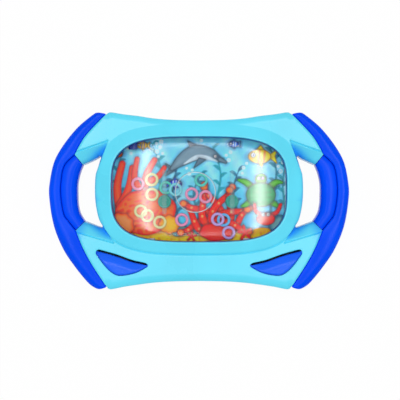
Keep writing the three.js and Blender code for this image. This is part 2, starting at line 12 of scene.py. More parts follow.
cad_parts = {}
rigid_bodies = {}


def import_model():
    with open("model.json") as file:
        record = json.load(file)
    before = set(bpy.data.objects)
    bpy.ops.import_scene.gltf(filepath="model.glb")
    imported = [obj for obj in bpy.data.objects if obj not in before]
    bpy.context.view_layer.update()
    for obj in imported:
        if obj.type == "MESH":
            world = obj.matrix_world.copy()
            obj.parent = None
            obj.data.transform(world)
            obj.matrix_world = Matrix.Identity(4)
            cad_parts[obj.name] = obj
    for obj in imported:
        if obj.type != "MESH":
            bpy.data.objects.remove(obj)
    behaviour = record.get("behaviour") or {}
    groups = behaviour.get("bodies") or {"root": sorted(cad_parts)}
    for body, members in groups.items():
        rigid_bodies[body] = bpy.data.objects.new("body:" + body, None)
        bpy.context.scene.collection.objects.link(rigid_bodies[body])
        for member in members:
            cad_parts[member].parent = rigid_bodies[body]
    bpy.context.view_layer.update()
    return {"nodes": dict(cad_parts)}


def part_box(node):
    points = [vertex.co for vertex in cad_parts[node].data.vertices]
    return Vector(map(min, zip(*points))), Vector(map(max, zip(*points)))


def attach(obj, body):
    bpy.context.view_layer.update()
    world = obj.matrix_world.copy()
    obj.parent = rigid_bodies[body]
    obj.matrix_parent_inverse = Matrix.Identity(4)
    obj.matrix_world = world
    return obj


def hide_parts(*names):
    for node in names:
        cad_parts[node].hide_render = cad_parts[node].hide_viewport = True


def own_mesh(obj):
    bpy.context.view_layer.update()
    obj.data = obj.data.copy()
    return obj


bl_info = {
    "name": "Water ring toss game",
    "version": (1, 0, 0),
    "blender": (4, 5, 0),
    "location": "3D View > Sidebar > Ring toss",
    "description": "Builds the case, grips, window, print, pegs and rings of a water ring toss game",
    "category": "Add Mesh",
}

for thing in list(bpy.data.objects):
    bpy.data.objects.remove(thing)
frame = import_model()
MM = 0.001

# Half sizes of the whole game, the parting gap, the panel's level and the window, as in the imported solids.
HALF_WIDTH = 120 * MM
HALF_HEIGHT = 71 * MM
SEAM = 0.15 * MM
PANEL = 31.5 * MM
WINDOW = (70 * MM, 41.8 * MM)
WINDOW_Y = 9.3 * MM
WINDOW_POWER = 3.4
# The outlines are those of the left half: X stays as it is on the left and is turned over on the right.
SIDES = ((1, "left"), (-1, "right"))

# Distance between the points of an outline, and the least cosine that a mitre is worked out with.
OUTLINE_STEP = 1.2 * MM
LEAST_MITRE = 0.5
# Search for how far the window's loop must grow: its range, its halvings and the least half size.
GROW_RANGE = (-60 * MM, 90 * MM)
HALVINGS = 22
LEAST_HALF_SIZE = 1 * MM
# Rows of a staggered grid lie this share of its spacing apart.
ROW_SHARE = 0.87
# Vertices closer than this are made one, and the triangulation takes closer points as one.
MERGE_DISTANCE = 0.004 * MM
SAME_POINT = 1e-7
# Least values that stand in for nothing where a sum divides by them.
LEAST_SQUARE = 1e-18
LEAST_RISE = 1e-12
LEAST_NORM = 1e-9

# Outlines of the left half, as shares of half the width and half the height.
TOP_EDGE = [(0, 0.907), (-0.167, 0.913), (-0.3, 0.93), (-0.4, 0.956), (-0.5, 0.976), (-0.571, 0.996)]
TOP_CORNER = [(-0.571, 0.996), (-0.596, 0.997), (-0.613, 0.98)]
UPPER_SEAM = [(-0.613, 0.98), (-0.696, 0.838), (-0.765, 0.703), (-0.826, 0.521)]
UPPER_CUT = [(-0.826, 0.521), (-0.775, 0.408)]
OPENING_TOP = [(-0.775, 0.408), (-0.69, 0.475), (-0.662, 0.508), (-0.656, 0.49)]
OPENING_INNER = [
    (-0.656, 0.49), (-0.673, 0.408), (-0.688, 0.282), (-0.692, 0.106), (-0.686, -0.042), (-0.669, -0.183),
    (-0.645, -0.28),
]
OPENING_BOTTOM = [(-0.645, -0.28), (-0.648, -0.3), (-0.675, -0.287), (-0.7625, -0.23)]
LOWER_CUT = [(-0.7625, -0.23), (-0.819, -0.331)]
LOWER_SEAM = [(-0.819, -0.331), (-0.78, -0.493), (-0.735, -0.645), (-0.675, -0.81), (-0.611, -0.97)]
BOTTOM_CORNER = [(-0.611, -0.97), (-0.59, -0.995), (-0.5, -0.966)]
BOTTOM_EDGE = [(-0.5, -0.966), (-0.4, -0.941), (-0.3, -0.92), (-0.167, -0.906), (0, -0.901)]
BODY_RUNS = (
    TOP_EDGE, TOP_CORNER, UPPER_SEAM, UPPER_CUT, OPENING_TOP, OPENING_INNER,
    OPENING_BOTTOM, LOWER_CUT, LOWER_SEAM, BOTTOM_CORNER, BOTTOM_EDGE,
)
BAND_OUTER = [
    (-0.613, 0.98), (-0.675, 0.999), (-0.715, 0.966), (-0.8125, 0.828), (-0.906, 0.634), (-0.967, 0.444),
    (-0.997, 0.211), (-1, 0.03), (-0.97, -0.282), (-0.906, -0.549), (-0.825, -0.754), (-0.745, -0.918),
    (-0.7, -0.977), (-0.661, -0.996), (-0.611, -0.97),
]
BAR_SEAM = [
    (-0.826, 0.521), (-0.895, 0.401), (-0.919, 0.21), (-0.919, 0.042), (-0.899, -0.148), (-0.867, -0.231),
    (-0.819, -0.331),
]
BAR_INNER = [
    (-0.775, 0.408), (-0.797, 0.31), (-0.811, 0.2), (-0.8125, 0.08), (-0.809, -0.04), (-0.795, -0.14),
    (-0.7625, -0.23),
]
BUTTON_TOP = [(-0.672, -0.546), (-0.554, -0.601), (-0.4425, -0.668), (-0.352, -0.702)]
BUTTON_RIGHT = [(-0.352, -0.702), (-0.338, -0.728)]
BUTTON_BOTTOM = [
    (-0.338, -0.728), (-0.42, -0.799), (-0.521, -0.831), (-0.571, -0.803), (-0.621, -0.724), (-0.683, -0.585),
]
BUTTON_LEFT = [(-0.683, -0.585), (-0.672, -0.546)]
# Slopes of an arm, each as its crease and its edge; the middle of the pump; and the middles of the screws.
UPPER_SLOPE = ([(-0.84, 0.535), (-0.605, 0.675)], [(-0.81, 0.33), (-0.645, 0.5)])
LOWER_SLOPE = ([(-0.84, -0.335), (-0.565, -0.47)], [(-0.8, -0.17), (-0.64, -0.285)])
PUMP = (-0.517, -0.704)
BOSSES = [(-0.25, 0.839), (-0.7, 0.711), (-0.727, -0.486), (-0.167, -0.796)]


def spline(points, spacing=1.0):
    """Uniform Catmull-Rom curve through points, sampled about every spacing."""
    padded = np.vstack([points[:1], points, points[-1:]])
    rows = []
    for p0, p1, p2, p3 in zip(padded[:-3], padded[1:-2], padded[2:-1], padded[3:]):
        steps = max(int(np.linalg.norm(p2 - p1) / spacing), 1)
        t = (np.arange(steps) / steps)[:, None]
        bend = (p2 - p0) * t + (2 * p0 - 5 * p1 + 4 * p2 - p3) * t**2 + (3 * p1 - p0 - 3 * p2 + p3) * t**3
        rows.append(p1 + bend / 2)
    return np.vstack(rows + [points[-1:]])


def smooth_run(shares, spacing=OUTLINE_STEP):
    """Curve through share points scaled to the case; straight where there are two."""
    points = np.array(shares, float) * (HALF_WIDTH, HALF_HEIGHT)
    if len(points) == 2:
        steps = max(int(np.linalg.norm(points[1] - points[0]) / spacing), 1)
        return points[0] + np.linspace(0, 1, steps + 1)[:, None] * (points[1] - points[0])
    return spline(points, spacing)


def join_runs(runs, spacing=OUTLINE_STEP):
    """Closed loop made of runs that share their ends."""
    return np.vstack([smooth_run(run, spacing)[:-1] for run in runs])


def mirrored(loop):
    """Loop turned over across X, in the order that keeps its direction."""
    return (loop * (-1, 1))[::-1]


def body_loop():
    """Counter-clockwise outline of the case, the left half and its mirror image."""
    left = join_runs(BODY_RUNS)
    middle = smooth_run(BOTTOM_EDGE)[-1:]
    return inset(np.vstack([left, middle, mirrored(left[1:])]), SEAM)


def inset(loop, distance):
    """Loop moved inwards: each point goes along the mean normal of its two sides, as far as their mitre."""
    before = loop - np.roll(loop, 1, axis=0)
    after = np.roll(loop, -1, axis=0) - loop
    before /= np.linalg.norm(before, axis=1)[:, None]
    after /= np.linalg.norm(after, axis=1)[:, None]
    across = before[:, 0] * after[:, 1] - before[:, 1] * after[:, 0]
    turn = np.arctan2(across, (before * after).sum(axis=1))
    heading = np.arctan2(before[:, 1], before[:, 0]) + turn / 2 + np.pi / 2
    reach = distance / np.maximum(np.cos(turn / 2), LEAST_MITRE)
    return loop + reach[:, None] * np.stack([np.cos(heading), np.sin(heading)], axis=1)


def window_loop(grow, count=240):
    """Superellipse of the window grown by a distance: signed powers of the cosine and sine of an angle."""
    angle = np.linspace(0, 2 * np.pi, count, endpoint=False)
    power = 2 / WINDOW_POWER
    x = np.sign(np.cos(angle)) * np.abs(np.cos(angle)) ** power * (WINDOW[0] + grow)
    y = np.sign(np.sin(angle)) * np.abs(np.sin(angle)) ** power * (WINDOW[1] + grow) + WINDOW_Y
    return even_loop(np.stack([x, y], axis=1), count)


def even_loop(loop, count):
    """The same closed loop with its points spaced evenly along it."""
    closed = np.vstack([loop, loop[:1]])
    length = np.concatenate([[0], np.cumsum(np.linalg.norm(np.diff(closed, axis=0), axis=1))])
    place = np.linspace(0, length[-1], count, endpoint=False)
    return np.stack([np.interp(place, length, closed[:, k]) for k in (0, 1)], axis=1)


def even_run(run, count):
    """The same open run with its points spaced evenly along it."""
    length = np.concatenate([[0], np.cumsum(np.linalg.norm(np.diff(run, axis=0), axis=1))])
    place = np.linspace(0, length[-1], count)
    return np.stack([np.interp(place, length, run[:, k]) for k in range(run.shape[1])], axis=1)


def window_grow(points):
    """How far the window's loop must grow to pass through each point, found by halving an interval."""
    low, high = (np.full(len(points), end) for end in GROW_RANGE)
    for _ in range(HALVINGS):
        middle = (low + high) / 2
        across = np.abs(points[:, 0]) / np.maximum(WINDOW[0] + middle, LEAST_HALF_SIZE)
        along = np.abs(points[:, 1] - WINDOW_Y) / np.maximum(WINDOW[1] + middle, LEAST_HALF_SIZE)
        outside = across**WINDOW_POWER + along**WINDOW_POWER > 1
        low = np.where(outside, middle, low)
        high = np.where(outside, high, middle)
    return (low + high) / 2


def in_blocks(work, points, size=1500):
    """Result of a whole-array function of points, computed in blocks to spare memory."""
    return np.concatenate([work(points[i:i + size]) for i in range(0, len(points), size)])


def nearest(points, curve, closed=True):
    """Distance of each point from the sides of a curve."""
    start = curve if closed else curve[:-1]
    side = (np.roll(curve, -1, axis=0) if closed else curve[1:]) - start
    square = np.maximum((side**2).sum(axis=1), LEAST_SQUARE)

    def work(block):
        offset = block[:, None, :] - start[None]
        share = np.clip((offset * side).sum(axis=2) / square, 0, 1)
        return np.linalg.norm(offset - share[..., None] * side, axis=2).min(axis=1)

    return in_blocks(work, points)


def nearest_point(points, others):
    """Distance of each point from the nearest of some others."""
    def work(block):
        return np.linalg.norm(block[:, None, :] - others[None], axis=2).min(axis=1)

    return in_blocks(work, points)


def inside(points, loop):
    """True where a point is inside a closed loop: a ray along +X crosses its sides an odd number of times."""
    ahead = np.roll(loop, -1, axis=0)
    rise = ahead[:, 1] - loop[:, 1]
    rise = np.where(rise == 0, LEAST_RISE, rise)

    def work(block):
        x, y = block[:, :1], block[:, 1:]
        spans = (loop[:, 1] > y) != (ahead[:, 1] > y)
        cross = loop[:, 0] + (y - loop[:, 1]) / rise * (ahead[:, 0] - loop[:, 0])
        return (spans & (x < cross)).sum(axis=1) % 2 == 1

    return in_blocks(work, points)


def ease(value):
    """Smooth step from 0 to 1."""
    value = np.clip(value, 0, 1)
    return value * value * (3 - 2 * value)


def round_drop(distance, radius):
    """How far a quarter-round edge has fallen at a distance inside the edge."""
    rest = np.clip(radius - distance, 0, radius)
    return radius - np.sqrt(np.maximum(radius**2 - rest**2, 0))


# Meshes.


def new_piece(name, vertices, faces, smooth=True):
    """New object in the scene, with a mesh made of vertices and faces."""
    mesh = bpy.data.meshes.new(name)
    mesh.from_pydata(np.asarray(vertices, float).tolist(), [], [list(map(int, face)) for face in faces])
    mesh.polygons.foreach_set("use_smooth", np.full(len(mesh.polygons), smooth))
    mesh.update()
    piece = bpy.data.objects.new(name, mesh)
    bpy.context.scene.collection.objects.link(piece)
    return piece


def clean(piece):
    """Merges doubled vertices and turns the faces outwards."""
    work = bmesh.new()
    work.from_mesh(piece.data)
    bmesh.ops.remove_doubles(work, verts=work.verts, dist=MERGE_DISTANCE)
    bmesh.ops.dissolve_degenerate(work, edges=work.edges, dist=MERGE_DISTANCE)
    bmesh.ops.recalc_face_normals(work, faces=work.faces)
    work.to_mesh(piece.data)
    work.free()
    piece.data.update()
    return piece


def grid_faces(rows, columns, wrap_columns=True, wrap_rows=False):
    """Quads between neighbours of a grid of vertices stored row by row."""
    r = np.arange(rows if wrap_rows else rows - 1)[:, None]
    c = np.arange(columns if wrap_columns else columns - 1)[None, :]
    a = r * columns + c
    b = r * columns + (c + 1) % columns
    return np.stack([a, b, b + columns, a + columns], axis=-1).reshape(-1, 4) % (rows * columns)


def skin(name, loops):
    """Surface over a stack of loops of the same count, its ends closed on their middle points."""
    loops = np.asarray(loops, float)
    rows, columns = loops.shape[:2]
    vertices = loops.reshape(-1, 3)
    faces = grid_faces(rows, columns).tolist()
    first, last = len(vertices), len(vertices) + 1
    vertices = np.vstack([vertices, loops[0].mean(axis=0), loops[-1].mean(axis=0)])
    top = (rows - 1) * columns
    faces += [[first, (i + 1) % columns, i] for i in range(columns)]
    faces += [[last, top + i, top + (i + 1) % columns] for i in range(columns)]
    return clean(new_piece(name, vertices, faces))


def lift(loop, level):
    """Plan loop at a level, which may be one number or one for each point."""
    return np.column_stack([loop, np.broadcast_to(level, len(loop))])


def turned_loops(x, y, profile, count=48):
    """Circles about an upright axis, one for each radius and level of the profile."""
    angle = np.linspace(0, 2 * np.pi, count, endpoint=False)
    circle = np.stack([np.cos(angle), np.sin(angle)], axis=1)
    return [lift(circle * radius + (x, y), level) for radius, level in profile]


def plan_sheet(outer, holes, extra, height):
    """Sheet whose level is a function of its plan place, over a triangulation of loops and extra points."""
    loops = [outer, *holes]
    points = np.vstack(loops + [extra])
    edges, start = [], 0
    for loop in loops:
        index = np.arange(len(loop)) + start
        edges += np.column_stack([index, np.roll(index, -1)]).tolist()
        start += len(loop)
    found = delaunay_2d_cdt(points.tolist(), edges, [], 0, SAME_POINT, False)
    plan = np.array([(v.x, v.y) for v in found[0]])
    triangles = np.array([face for face in found[2] if len(face) == 3])
    middle = plan[triangles].mean(axis=1)
    keep = inside(middle, outer)
    for hole in holes:
        keep &= ~inside(middle, hole)
    return np.column_stack([plan, height(plan)]), triangles[keep]


def staggered(outer, spacing):
    """Grid of points over an outline's box, every second row moved by half a step."""
    low, high = outer.min(axis=0), outer.max(axis=0)
    x, y = np.meshgrid(np.arange(low[0], high[0], spacing), np.arange(low[1], high[1], spacing * ROW_SHARE))
    x = x + (np.arange(len(x)) % 2)[:, None] * spacing / 2
    return np.column_stack([x.ravel(), y.ravel()])


def filtered(points, outer, holes, clear):
    """The points inside an outline and outside its holes, each kept clear by its own distance."""
    points = points[inside(points, outer)]
    points = points[nearest(points, outer) > clear[0]]
    for hole, distance in zip(holes, clear[1:]):
        points = points[~inside(points, hole)]
        points = points[nearest(points, hole) > distance]
    return points


# Materials.

# Sizes of the patterns, as noise cells for each metre, and depths of the bumps.
FLOW_SCALE = 22.0
GRAIN_SCALE = 900.0
GRAIN_DEPTH = 0.05 * MM
BRUSH_SCALE = 700.0
BRUSH_DEPTH = 0.02 * MM
HAZE_SCALE = 40.0
TRAY_SCALE = 30.0
BUBBLE_SCALE = 60.0
CARD_SCALE = 500.0
# How much a clear or pigmented plastic mirrors, where 0.5 is usual, and how strongly the window bends light.
DULL_MIRROR = 0.1
WINDOW_IOR = 1.4


def linear(code):
    """Scene-linear colour of a hexadecimal display colour."""
    value = np.array([int(code[i:i + 2], 16) for i in (0, 2, 4)]) / 255
    return tuple(np.where(value <= 0.04045, value / 12.92, ((value + 0.055) / 1.055) ** 2.4))


def material_of(name, build):
    """New node material with a Principled shader, finished by build(nodes, links, shader)."""
    material = bpy.data.materials.new(name)
    material.use_nodes = True
    nodes, links = material.node_tree.nodes, material.node_tree.links
    build(nodes, links, nodes["Principled BSDF"])
    return material


def add_node(nodes, kind, **values):
    """New node whose named inputs or properties get the values."""
    node = nodes.new(kind)
    for key, value in values.items():
        name = key.replace("_", " ")
        if name in node.inputs:
            node.inputs[name].default_value = value
        else:
            setattr(node, key, value)
    return node


def object_noise(nodes, links, scale, detail=3.0):
    """Noise on Object coordinates, so that the pattern belongs to the piece and moves with it."""
    coordinates = add_node(nodes, "ShaderNodeTexCoord")
    noise = add_node(nodes, "ShaderNodeTexNoise", Scale=scale, Detail=detail, Roughness=0.5)
    links.new(coordinates.outputs["Object"], noise.inputs["Vector"])
    return noise.outputs["Fac"]


def value_range(nodes, links, source, low, high, low_in=0.3, high_in=0.7):
    """Output that goes from low to high as its source goes from low_in to high_in."""
    spread = add_node(nodes, "ShaderNodeMapRange")
    for socket, value in (("From Min", low_in), ("From Max", high_in), ("To Min", low), ("To Max", high)):
        spread.inputs[socket].default_value = value
    links.new(source, spread.inputs["Value"])
    return spread.outputs["Result"]


def combined(nodes, links, operation, first, second):
    """Output of a calculation on two outputs."""
    node = add_node(nodes, "ShaderNodeMath", operation=operation)
    links.new(first, node.inputs[0])
    links.new(second, node.inputs[1])
    return node.outputs[0]


def colour_mix(nodes, links, factor, first, second):
    """Mix of two colours, each a plain colour or another node's output, by a factor."""
    mix = add_node(nodes, "ShaderNodeMix", data_type="RGBA")
    links.new(factor, mix.inputs[0])
    for socket, colour in ((mix.inputs[6], first), (mix.inputs[7], second)):
        if hasattr(colour, "is_output"):
            links.new(colour, socket)
        else:
            socket.default_value = (*colour, 1)
    return mix.outputs[2]


def shader_mix(nodes, links, share, first, second):
    """Surface that goes from the first shader to the second as the share goes from 0 to 1."""
    mix = add_node(nodes, "ShaderNodeMixShader")
    links.new(share, mix.inputs["Fac"])
    links.new(first, mix.inputs[1])
    links.new(second, mix.inputs[2])
    return mix.outputs[0]


def over_clear(nodes, links, shader, share):
    """The shader laid over clear air by a share."""
    clear = add_node(nodes, "ShaderNodeBsdfTransparent")
    return shader_mix(nodes, links, share, clear.outputs[0], shader.outputs[0])


def surface(nodes, links, output):
    """Makes an output the material's surface."""
    links.new(output, nodes["Material Output"].inputs["Surface"])


def attribute_value(nodes, name):
    """Number that a piece keeps for each vertex under a name, or 0 where it keeps none."""
    return add_node(nodes, "ShaderNodeAttribute", attribute_name=name).outputs["Fac"]


def bumped(nodes, links, shader, heights, strength, distance):
    """Fine relief from an output of heights."""
    bump = add_node(nodes, "ShaderNodeBump", Strength=strength, Distance=distance)
    links.new(heights, bump.inputs["Height"])
    links.new(bump.outputs["Normal"], shader.inputs["Normal"])


def moulded(name, colour, roughness=0.3, shade=0.9, mirror=0.25, painted_shade_colour=None):
    """Injection-moulded plastic: faint flow marks in the colour, uneven gloss and a fine grain.

    Where a piece keeps a "corner" value, the colour goes over to a darker one: painted shade for the low inner
    corners of the slopes.
    """
    colour = tuple(colour)[:3]

    def build(nodes, links, shader):
        flow = object_noise(nodes, links, FLOW_SCALE, 4.0)
        darker = tuple(channel * shade for channel in colour)
        mixed = colour_mix(nodes, links, value_range(nodes, links, flow, 0, 1), darker, colour)
        # Painted shade: where the piece keeps "corner" values, the colour goes over to a darker one.
        if painted_shade_colour:
            mixed = colour_mix(nodes, links, attribute_value(nodes, "corner"), mixed, painted_shade_colour)
        links.new(mixed, shader.inputs["Base Color"])
        gloss = value_range(nodes, links, flow, roughness * 0.85, roughness * 1.2)
        links.new(gloss, shader.inputs["Roughness"])
        bumped(nodes, links, shader, object_noise(nodes, links, GRAIN_SCALE, 2.0), 0.05, GRAIN_DEPTH)
        shader.inputs["Specular IOR Level"].default_value = mirror

    return material_of(name, build)


def see_through(name, colour, share, roughness, mirrored=False):
    """Clear plastic with a thin tint, which also mirrors by Fresnel's law where "outer" is 1."""
    def build(nodes, links, shader):
        haze = object_noise(nodes, links, HAZE_SCALE)
        tint = value_range(nodes, links, haze, share * 0.8, share * 1.2)
        body = over_clear(nodes, links, shader, tint)
        if mirrored:
            gloss = add_node(nodes, "ShaderNodeBsdfGlossy", Roughness=roughness)
            fresnel = add_node(nodes, "ShaderNodeFresnel", IOR=WINDOW_IOR)
            outer = attribute_value(nodes, "outer")
            mirror = combined(nodes, links, "MULTIPLY", fresnel.outputs[0], outer)
            body = shader_mix(nodes, links, mirror, body, gloss.outputs[0])
        surface(nodes, links, body)
        shader.inputs["Base Color"].default_value = (*tuple(colour)[:3], 1)
        shader.inputs["Roughness"].default_value = roughness
        shader.inputs["Specular IOR Level"].default_value = DULL_MIRROR

    return material_of(name, build)


def tray_plastic(name, floor_level):
    """Tank tray: its floor clear, its side walls opaque blue above the floor's level."""
    def build(nodes, links, shader):
        coordinates = add_node(nodes, "ShaderNodeTexCoord")
        place = add_node(nodes, "ShaderNodeSeparateXYZ")
        links.new(coordinates.outputs["Object"], place.inputs["Vector"])
        start, end = floor_level, floor_level + 0.3 * MM
        wall_cover = value_range(nodes, links, place.outputs["Z"], 0.004, 0.97, start, end)
        flow = object_noise(nodes, links, TRAY_SCALE)
        shades = colour_mix(nodes, links, flow, linear("1B55C8"), linear("2E78E6"))
        links.new(shades, shader.inputs["Base Color"])
        surface(nodes, links, over_clear(nodes, links, shader, wall_cover))
        shader.inputs["Roughness"].default_value = 0.3
        shader.inputs["Specular IOR Level"].default_value = DULL_MIRROR

    return material_of(name, build)


def air_with_painted_rim(name):
    """Air bubble: clear inside, its edge a painted highlight line and a painted dark line that follow how far
    out a point lies.
    """
    def build(nodes, links, shader):
        outer = attribute_value(nodes, "outer")
        # Painted highlight and painted shade: a light and a dark line stand in for the light that the bubble's
        # rim reflects and bends.
        edge = value_range(nodes, links, outer, 0.0, 0.75, 0.945, 0.97)
        dark = value_range(nodes, links, outer, 0.0, 1.0, 0.975, 0.985)
        thin = value_range(nodes, links, object_noise(nodes, links, BUBBLE_SCALE, 2.0), 0.01, 0.03)
        cover = combined(nodes, links, "MAXIMUM", edge, thin)
        painted_rim_colour = colour_mix(nodes, links, dark, (0.86, 0.97, 1.0), (0.05, 0.3, 0.42))
        links.new(painted_rim_colour, shader.inputs["Base Color"])
        surface(nodes, links, over_clear(nodes, links, shader, cover))
        shader.inputs["Roughness"].default_value = 0.2

    return material_of(name, build)


def metal(name, colour, roughness):
    """Bare metal with fine brushed marks in its gloss and its surface."""
    def build(nodes, links, shader):
        marks = object_noise(nodes, links, BRUSH_SCALE, 4.0)
        gloss = value_range(nodes, links, marks, roughness * 0.8, roughness * 1.3)
        links.new(gloss, shader.inputs["Roughness"])
        bumped(nodes, links, shader, marks, 0.1, BRUSH_DEPTH)
        shader.inputs["Base Color"].default_value = (*colour, 1)
        shader.inputs["Metallic"].default_value = 1.0

    return material_of(name, build)


def printed(name):
    """Printed card: the colours that the card keeps as its picture, under a matt varnish."""
    def build(nodes, links, shader):
        picture = add_node(nodes, "ShaderNodeVertexColor", layer_name="picture")
        links.new(picture.outputs["Color"], shader.inputs["Base Color"])
        gloss = value_range(nodes, links, object_noise(nodes, links, CARD_SCALE, 2.0), 0.4, 0.55)
        links.new(gloss, shader.inputs["Roughness"])
        shader.inputs["Specular IOR Level"].default_value = 0.05

    return material_of(name, build)


# Values kept on a mesh, and what a finished piece stands for.


def mark(piece, name, values):
    """Keeps one number for each vertex under a name that materials can read."""
    attribute = piece.data.attributes.new(name, "FLOAT", "POINT")
    attribute.data.foreach_set("value", np.asarray(values, np.float32))


def vertex_places(piece):
    """Places of a mesh's vertices as one array."""
    table = np.empty(len(piece.data.vertices) * 3, np.float32)
    piece.data.vertices.foreach_get("co", table)
    return table.reshape(-1, 3)


def vertex_normals(piece):
    """Directions in which a mesh's vertices face, as one array."""
    table = np.empty(len(piece.data.vertices) * 3, np.float32)
    piece.data.vertex_normals.foreach_get("vector", table)
    return table.reshape(-1, 3)


def dress(piece, material, body, slot_name, *nodes):
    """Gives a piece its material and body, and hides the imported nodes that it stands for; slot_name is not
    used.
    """
    piece.data.materials.clear()
    piece.data.materials.append(material)
    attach(piece, body)
    if nodes:
        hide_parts(*nodes)
    return piece


def repaint(material, *names):
    """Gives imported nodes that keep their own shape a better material."""
    for name in names:
        node = frame["nodes"][name]
        node.data.materials.clear()
        node.data.materials.append(material)


# Settings.


class RINGTOSS_CaseSettings(bpy.types.PropertyGroup):
    """Colour and sizes of the two shells"""

    colour: FloatVectorProperty(
        name="Case colour", description="Light blue of both shells", subtype="COLOR", default=linear("5FE0FB")
    )
    wall: FloatProperty(name="Wall", description="Thickness of the shells", default=1.8 * MM, unit="LENGTH")
    spacing: FloatProperty(
        name="Spacing", description="Distance between the points of a shell", default=1.1 * MM, unit="LENGTH"
    )
    surround_width: FloatProperty(
        name="Surround width",
        description="From the window to the foot of the rim",
        default=10 * MM,
        unit="LENGTH",
    )
    surround_rise: FloatProperty(
        name="Surround rise", description="Height of the rim over the panel", default=2.5 * MM, unit="LENGTH"
    )
    slope_drop: FloatProperty(
        name="Slope drop",
        description="Fall of the arms towards the finger openings",
        default=9 * MM,
        unit="LENGTH",
    )


class RINGTOSS_GripSettings(bpy.types.PropertyGroup):
    """Colours and sizes of the grips and the pump buttons"""

    colour: FloatVectorProperty(
        name="Grip colour", description="Royal blue of the grips", subtype="COLOR", default=linear("0050FF")
    )
    button: FloatVectorProperty(
        name="Button colour", description="Blue of the buttons", subtype="COLOR", default=linear("1866FF")
    )
    band_round: FloatProperty(
        name="Band round", description="Outer edge radius of the bands", default=5 * MM, unit="LENGTH"
    )
    bar_round: FloatProperty(
        name="Bar round", description="Finger side edge radius of the bars", default=5.5 * MM, unit="LENGTH"
    )
    button_tilt: FloatProperty(
        name="Button tilt", description="How far a button's upper edge sinks", default=2.4 * MM, unit="LENGTH"
    )


class RINGTOSS_WindowSettings(bpy.types.PropertyGroup):
    """Shape and clearness of the window, and size of the bubble under it"""

    rise: FloatProperty(
        name="Dome",
        description="Height of the window's dome over its shoulder",
        default=4.15 * MM,
        unit="LENGTH",
    )
    tint: FloatProperty(
        name="Tint", description="Share of haze in the clear plastic", default=0.002, min=0, max=1
    )
    bubble: FloatProperty(
        name="Bubble", description="Radius of the air bubble", default=16.4 * MM, unit="LENGTH"
    )


class RINGTOSS_PrintSettings(bpy.types.PropertyGroup):
    """Fineness of the printed picture"""

    columns: IntProperty(name="Columns", description="Points across the printed card", default=376)
    rows: IntProperty(name="Rows", description="Points up the printed card", default=226)


class RINGTOSS_RingSettings(bpy.types.PropertyGroup):
    """Fineness and colours of the tossing rings"""

    around: IntProperty(name="Segments", description="Points round a ring", default=56)
    pink: FloatVectorProperty(
        name="Pink", description="Pink rings", subtype="COLOR", default=linear("FF99C6")
    )
    yellow: FloatVectorProperty(
        name="Yellow", description="Pale yellow rings", subtype="COLOR", default=linear("F2EFA0")
    )
    teal: FloatVectorProperty(
        name="Teal", description="Teal rings", subtype="COLOR", default=linear("34DCC8")
    )
    cyan: FloatVectorProperty(
        name="Cyan", description="Cyan ring", subtype="COLOR", default=linear("7CE8F6")
    )
    blue: FloatVectorProperty(
        name="Sky blue", description="Sky blue ring", subtype="COLOR", default=linear("58C0FA")
    )
    purple: FloatVectorProperty(
        name="Lavender", description="Lavender rings", subtype="COLOR", default=linear("C9A6EC")
    )


class RINGTOSS_StageSettings(bpy.types.PropertyGroup):
    """Light and camera"""

    world: FloatProperty(name="World", description="Strength of the even light", default=0.58)
    key: FloatProperty(
        name="Key", description="Power of the two soft lamps together", default=10.0, unit="POWER"
    )
    camera_height: FloatProperty(
        name="Camera", description="Height of the camera over the floor", default=1.117, unit="LENGTH"
    )
    lens: FloatProperty(name="Lens", description="Focal length in millimetres", default=122.9)


# Case.

# Rounded edges: runs of the outline, with how far in and how far down their round goes.
EDGE_ROUNDS = (
    ((TOP_EDGE, TOP_CORNER), 6 * MM, 4 * MM),
    ((BOTTOM_CORNER, BOTTOM_EDGE), 8 * MM, 4.4 * MM),
    ((UPPER_SEAM, LOWER_SEAM), 1.6 * MM, 1.2 * MM),
    ((UPPER_CUT, LOWER_CUT), 1 * MM, 0.8 * MM),
    ((OPENING_TOP, OPENING_INNER, OPENING_BOTTOM), 3.4 * MM, 3.4 * MM),
)
LIP_ROUND = 1.1 * MM
BACK_ROUND = 2.5 * MM
# Fine groove at the foot of the rim, in the lower part of the case.
FOOT_GROOVE = 0.8 * MM
FOOT_GROOVE_WIDTH = 0.42 * MM
FOOT_GROOVE_TOP = -12 * MM
FOOT_GROOVE_FADE = 14 * MM
# Slope of an arm: how much less it falls at the band, its crease's groove, and the flank at its inner end.
SLOPE_EASE = 0.3
SLOPE_LENGTH = 24 * MM
SLOPE_ROUND = 0.02
CREASE_GROOVE = 1.3 * MM
CREASE_GROOVE_WIDTH = 0.5 * MM
FLANK_WIDTH = 1.4 * MM
# Least width of a slope, and the shares of its fall that are kept beyond its crease and its edge.
SLOPE_LEAST_WIDTH = 2 * MM
SLOPE_SHARES = (-1, 1.05)
# Distance from the window at which the slopes start, and over which they come in.
SLOPE_FROM_WINDOW = 7 * MM
SLOPE_FADE = 3 * MM
# Inner low corner of a slope, painted a deeper blue as shade: how fast the painted shade comes in down the
# slope, its length along it, how far it goes over the inner end, and the shade itself.
CORNER_RATE = 1.4
CORNER_LENGTH = 13 * MM
CORNER_OVERRUN = 0.6 * MM
PAINTED_CORNER_SHADE = (0.2, 0.5, 1)
# Gap and rounded mouth of the button wells, and levels of their walls and of the wall at the window.
WELL_GAP = 0.5 * MM
WELL_WALL = (30.4 * MM, PANEL - 2.1 * MM)
OPENING_WALL = (32.4 * MM, 32 * MM)
# Wells of the screws: the mouth's round, the radius, a level on the wall, and radii and levels further in.
SCREW_MOUTH_ROUND = 0.4 * MM
SCREW_WELL_RADIUS = 3.3 * MM
SCREW_WELL_WALL = 4 * MM
SCREW_WELL = ((SCREW_WELL_RADIUS, 8 * MM), (1.6 * MM, 8 * MM), (1.6 * MM, 17 * MM))
SCREWS = 8
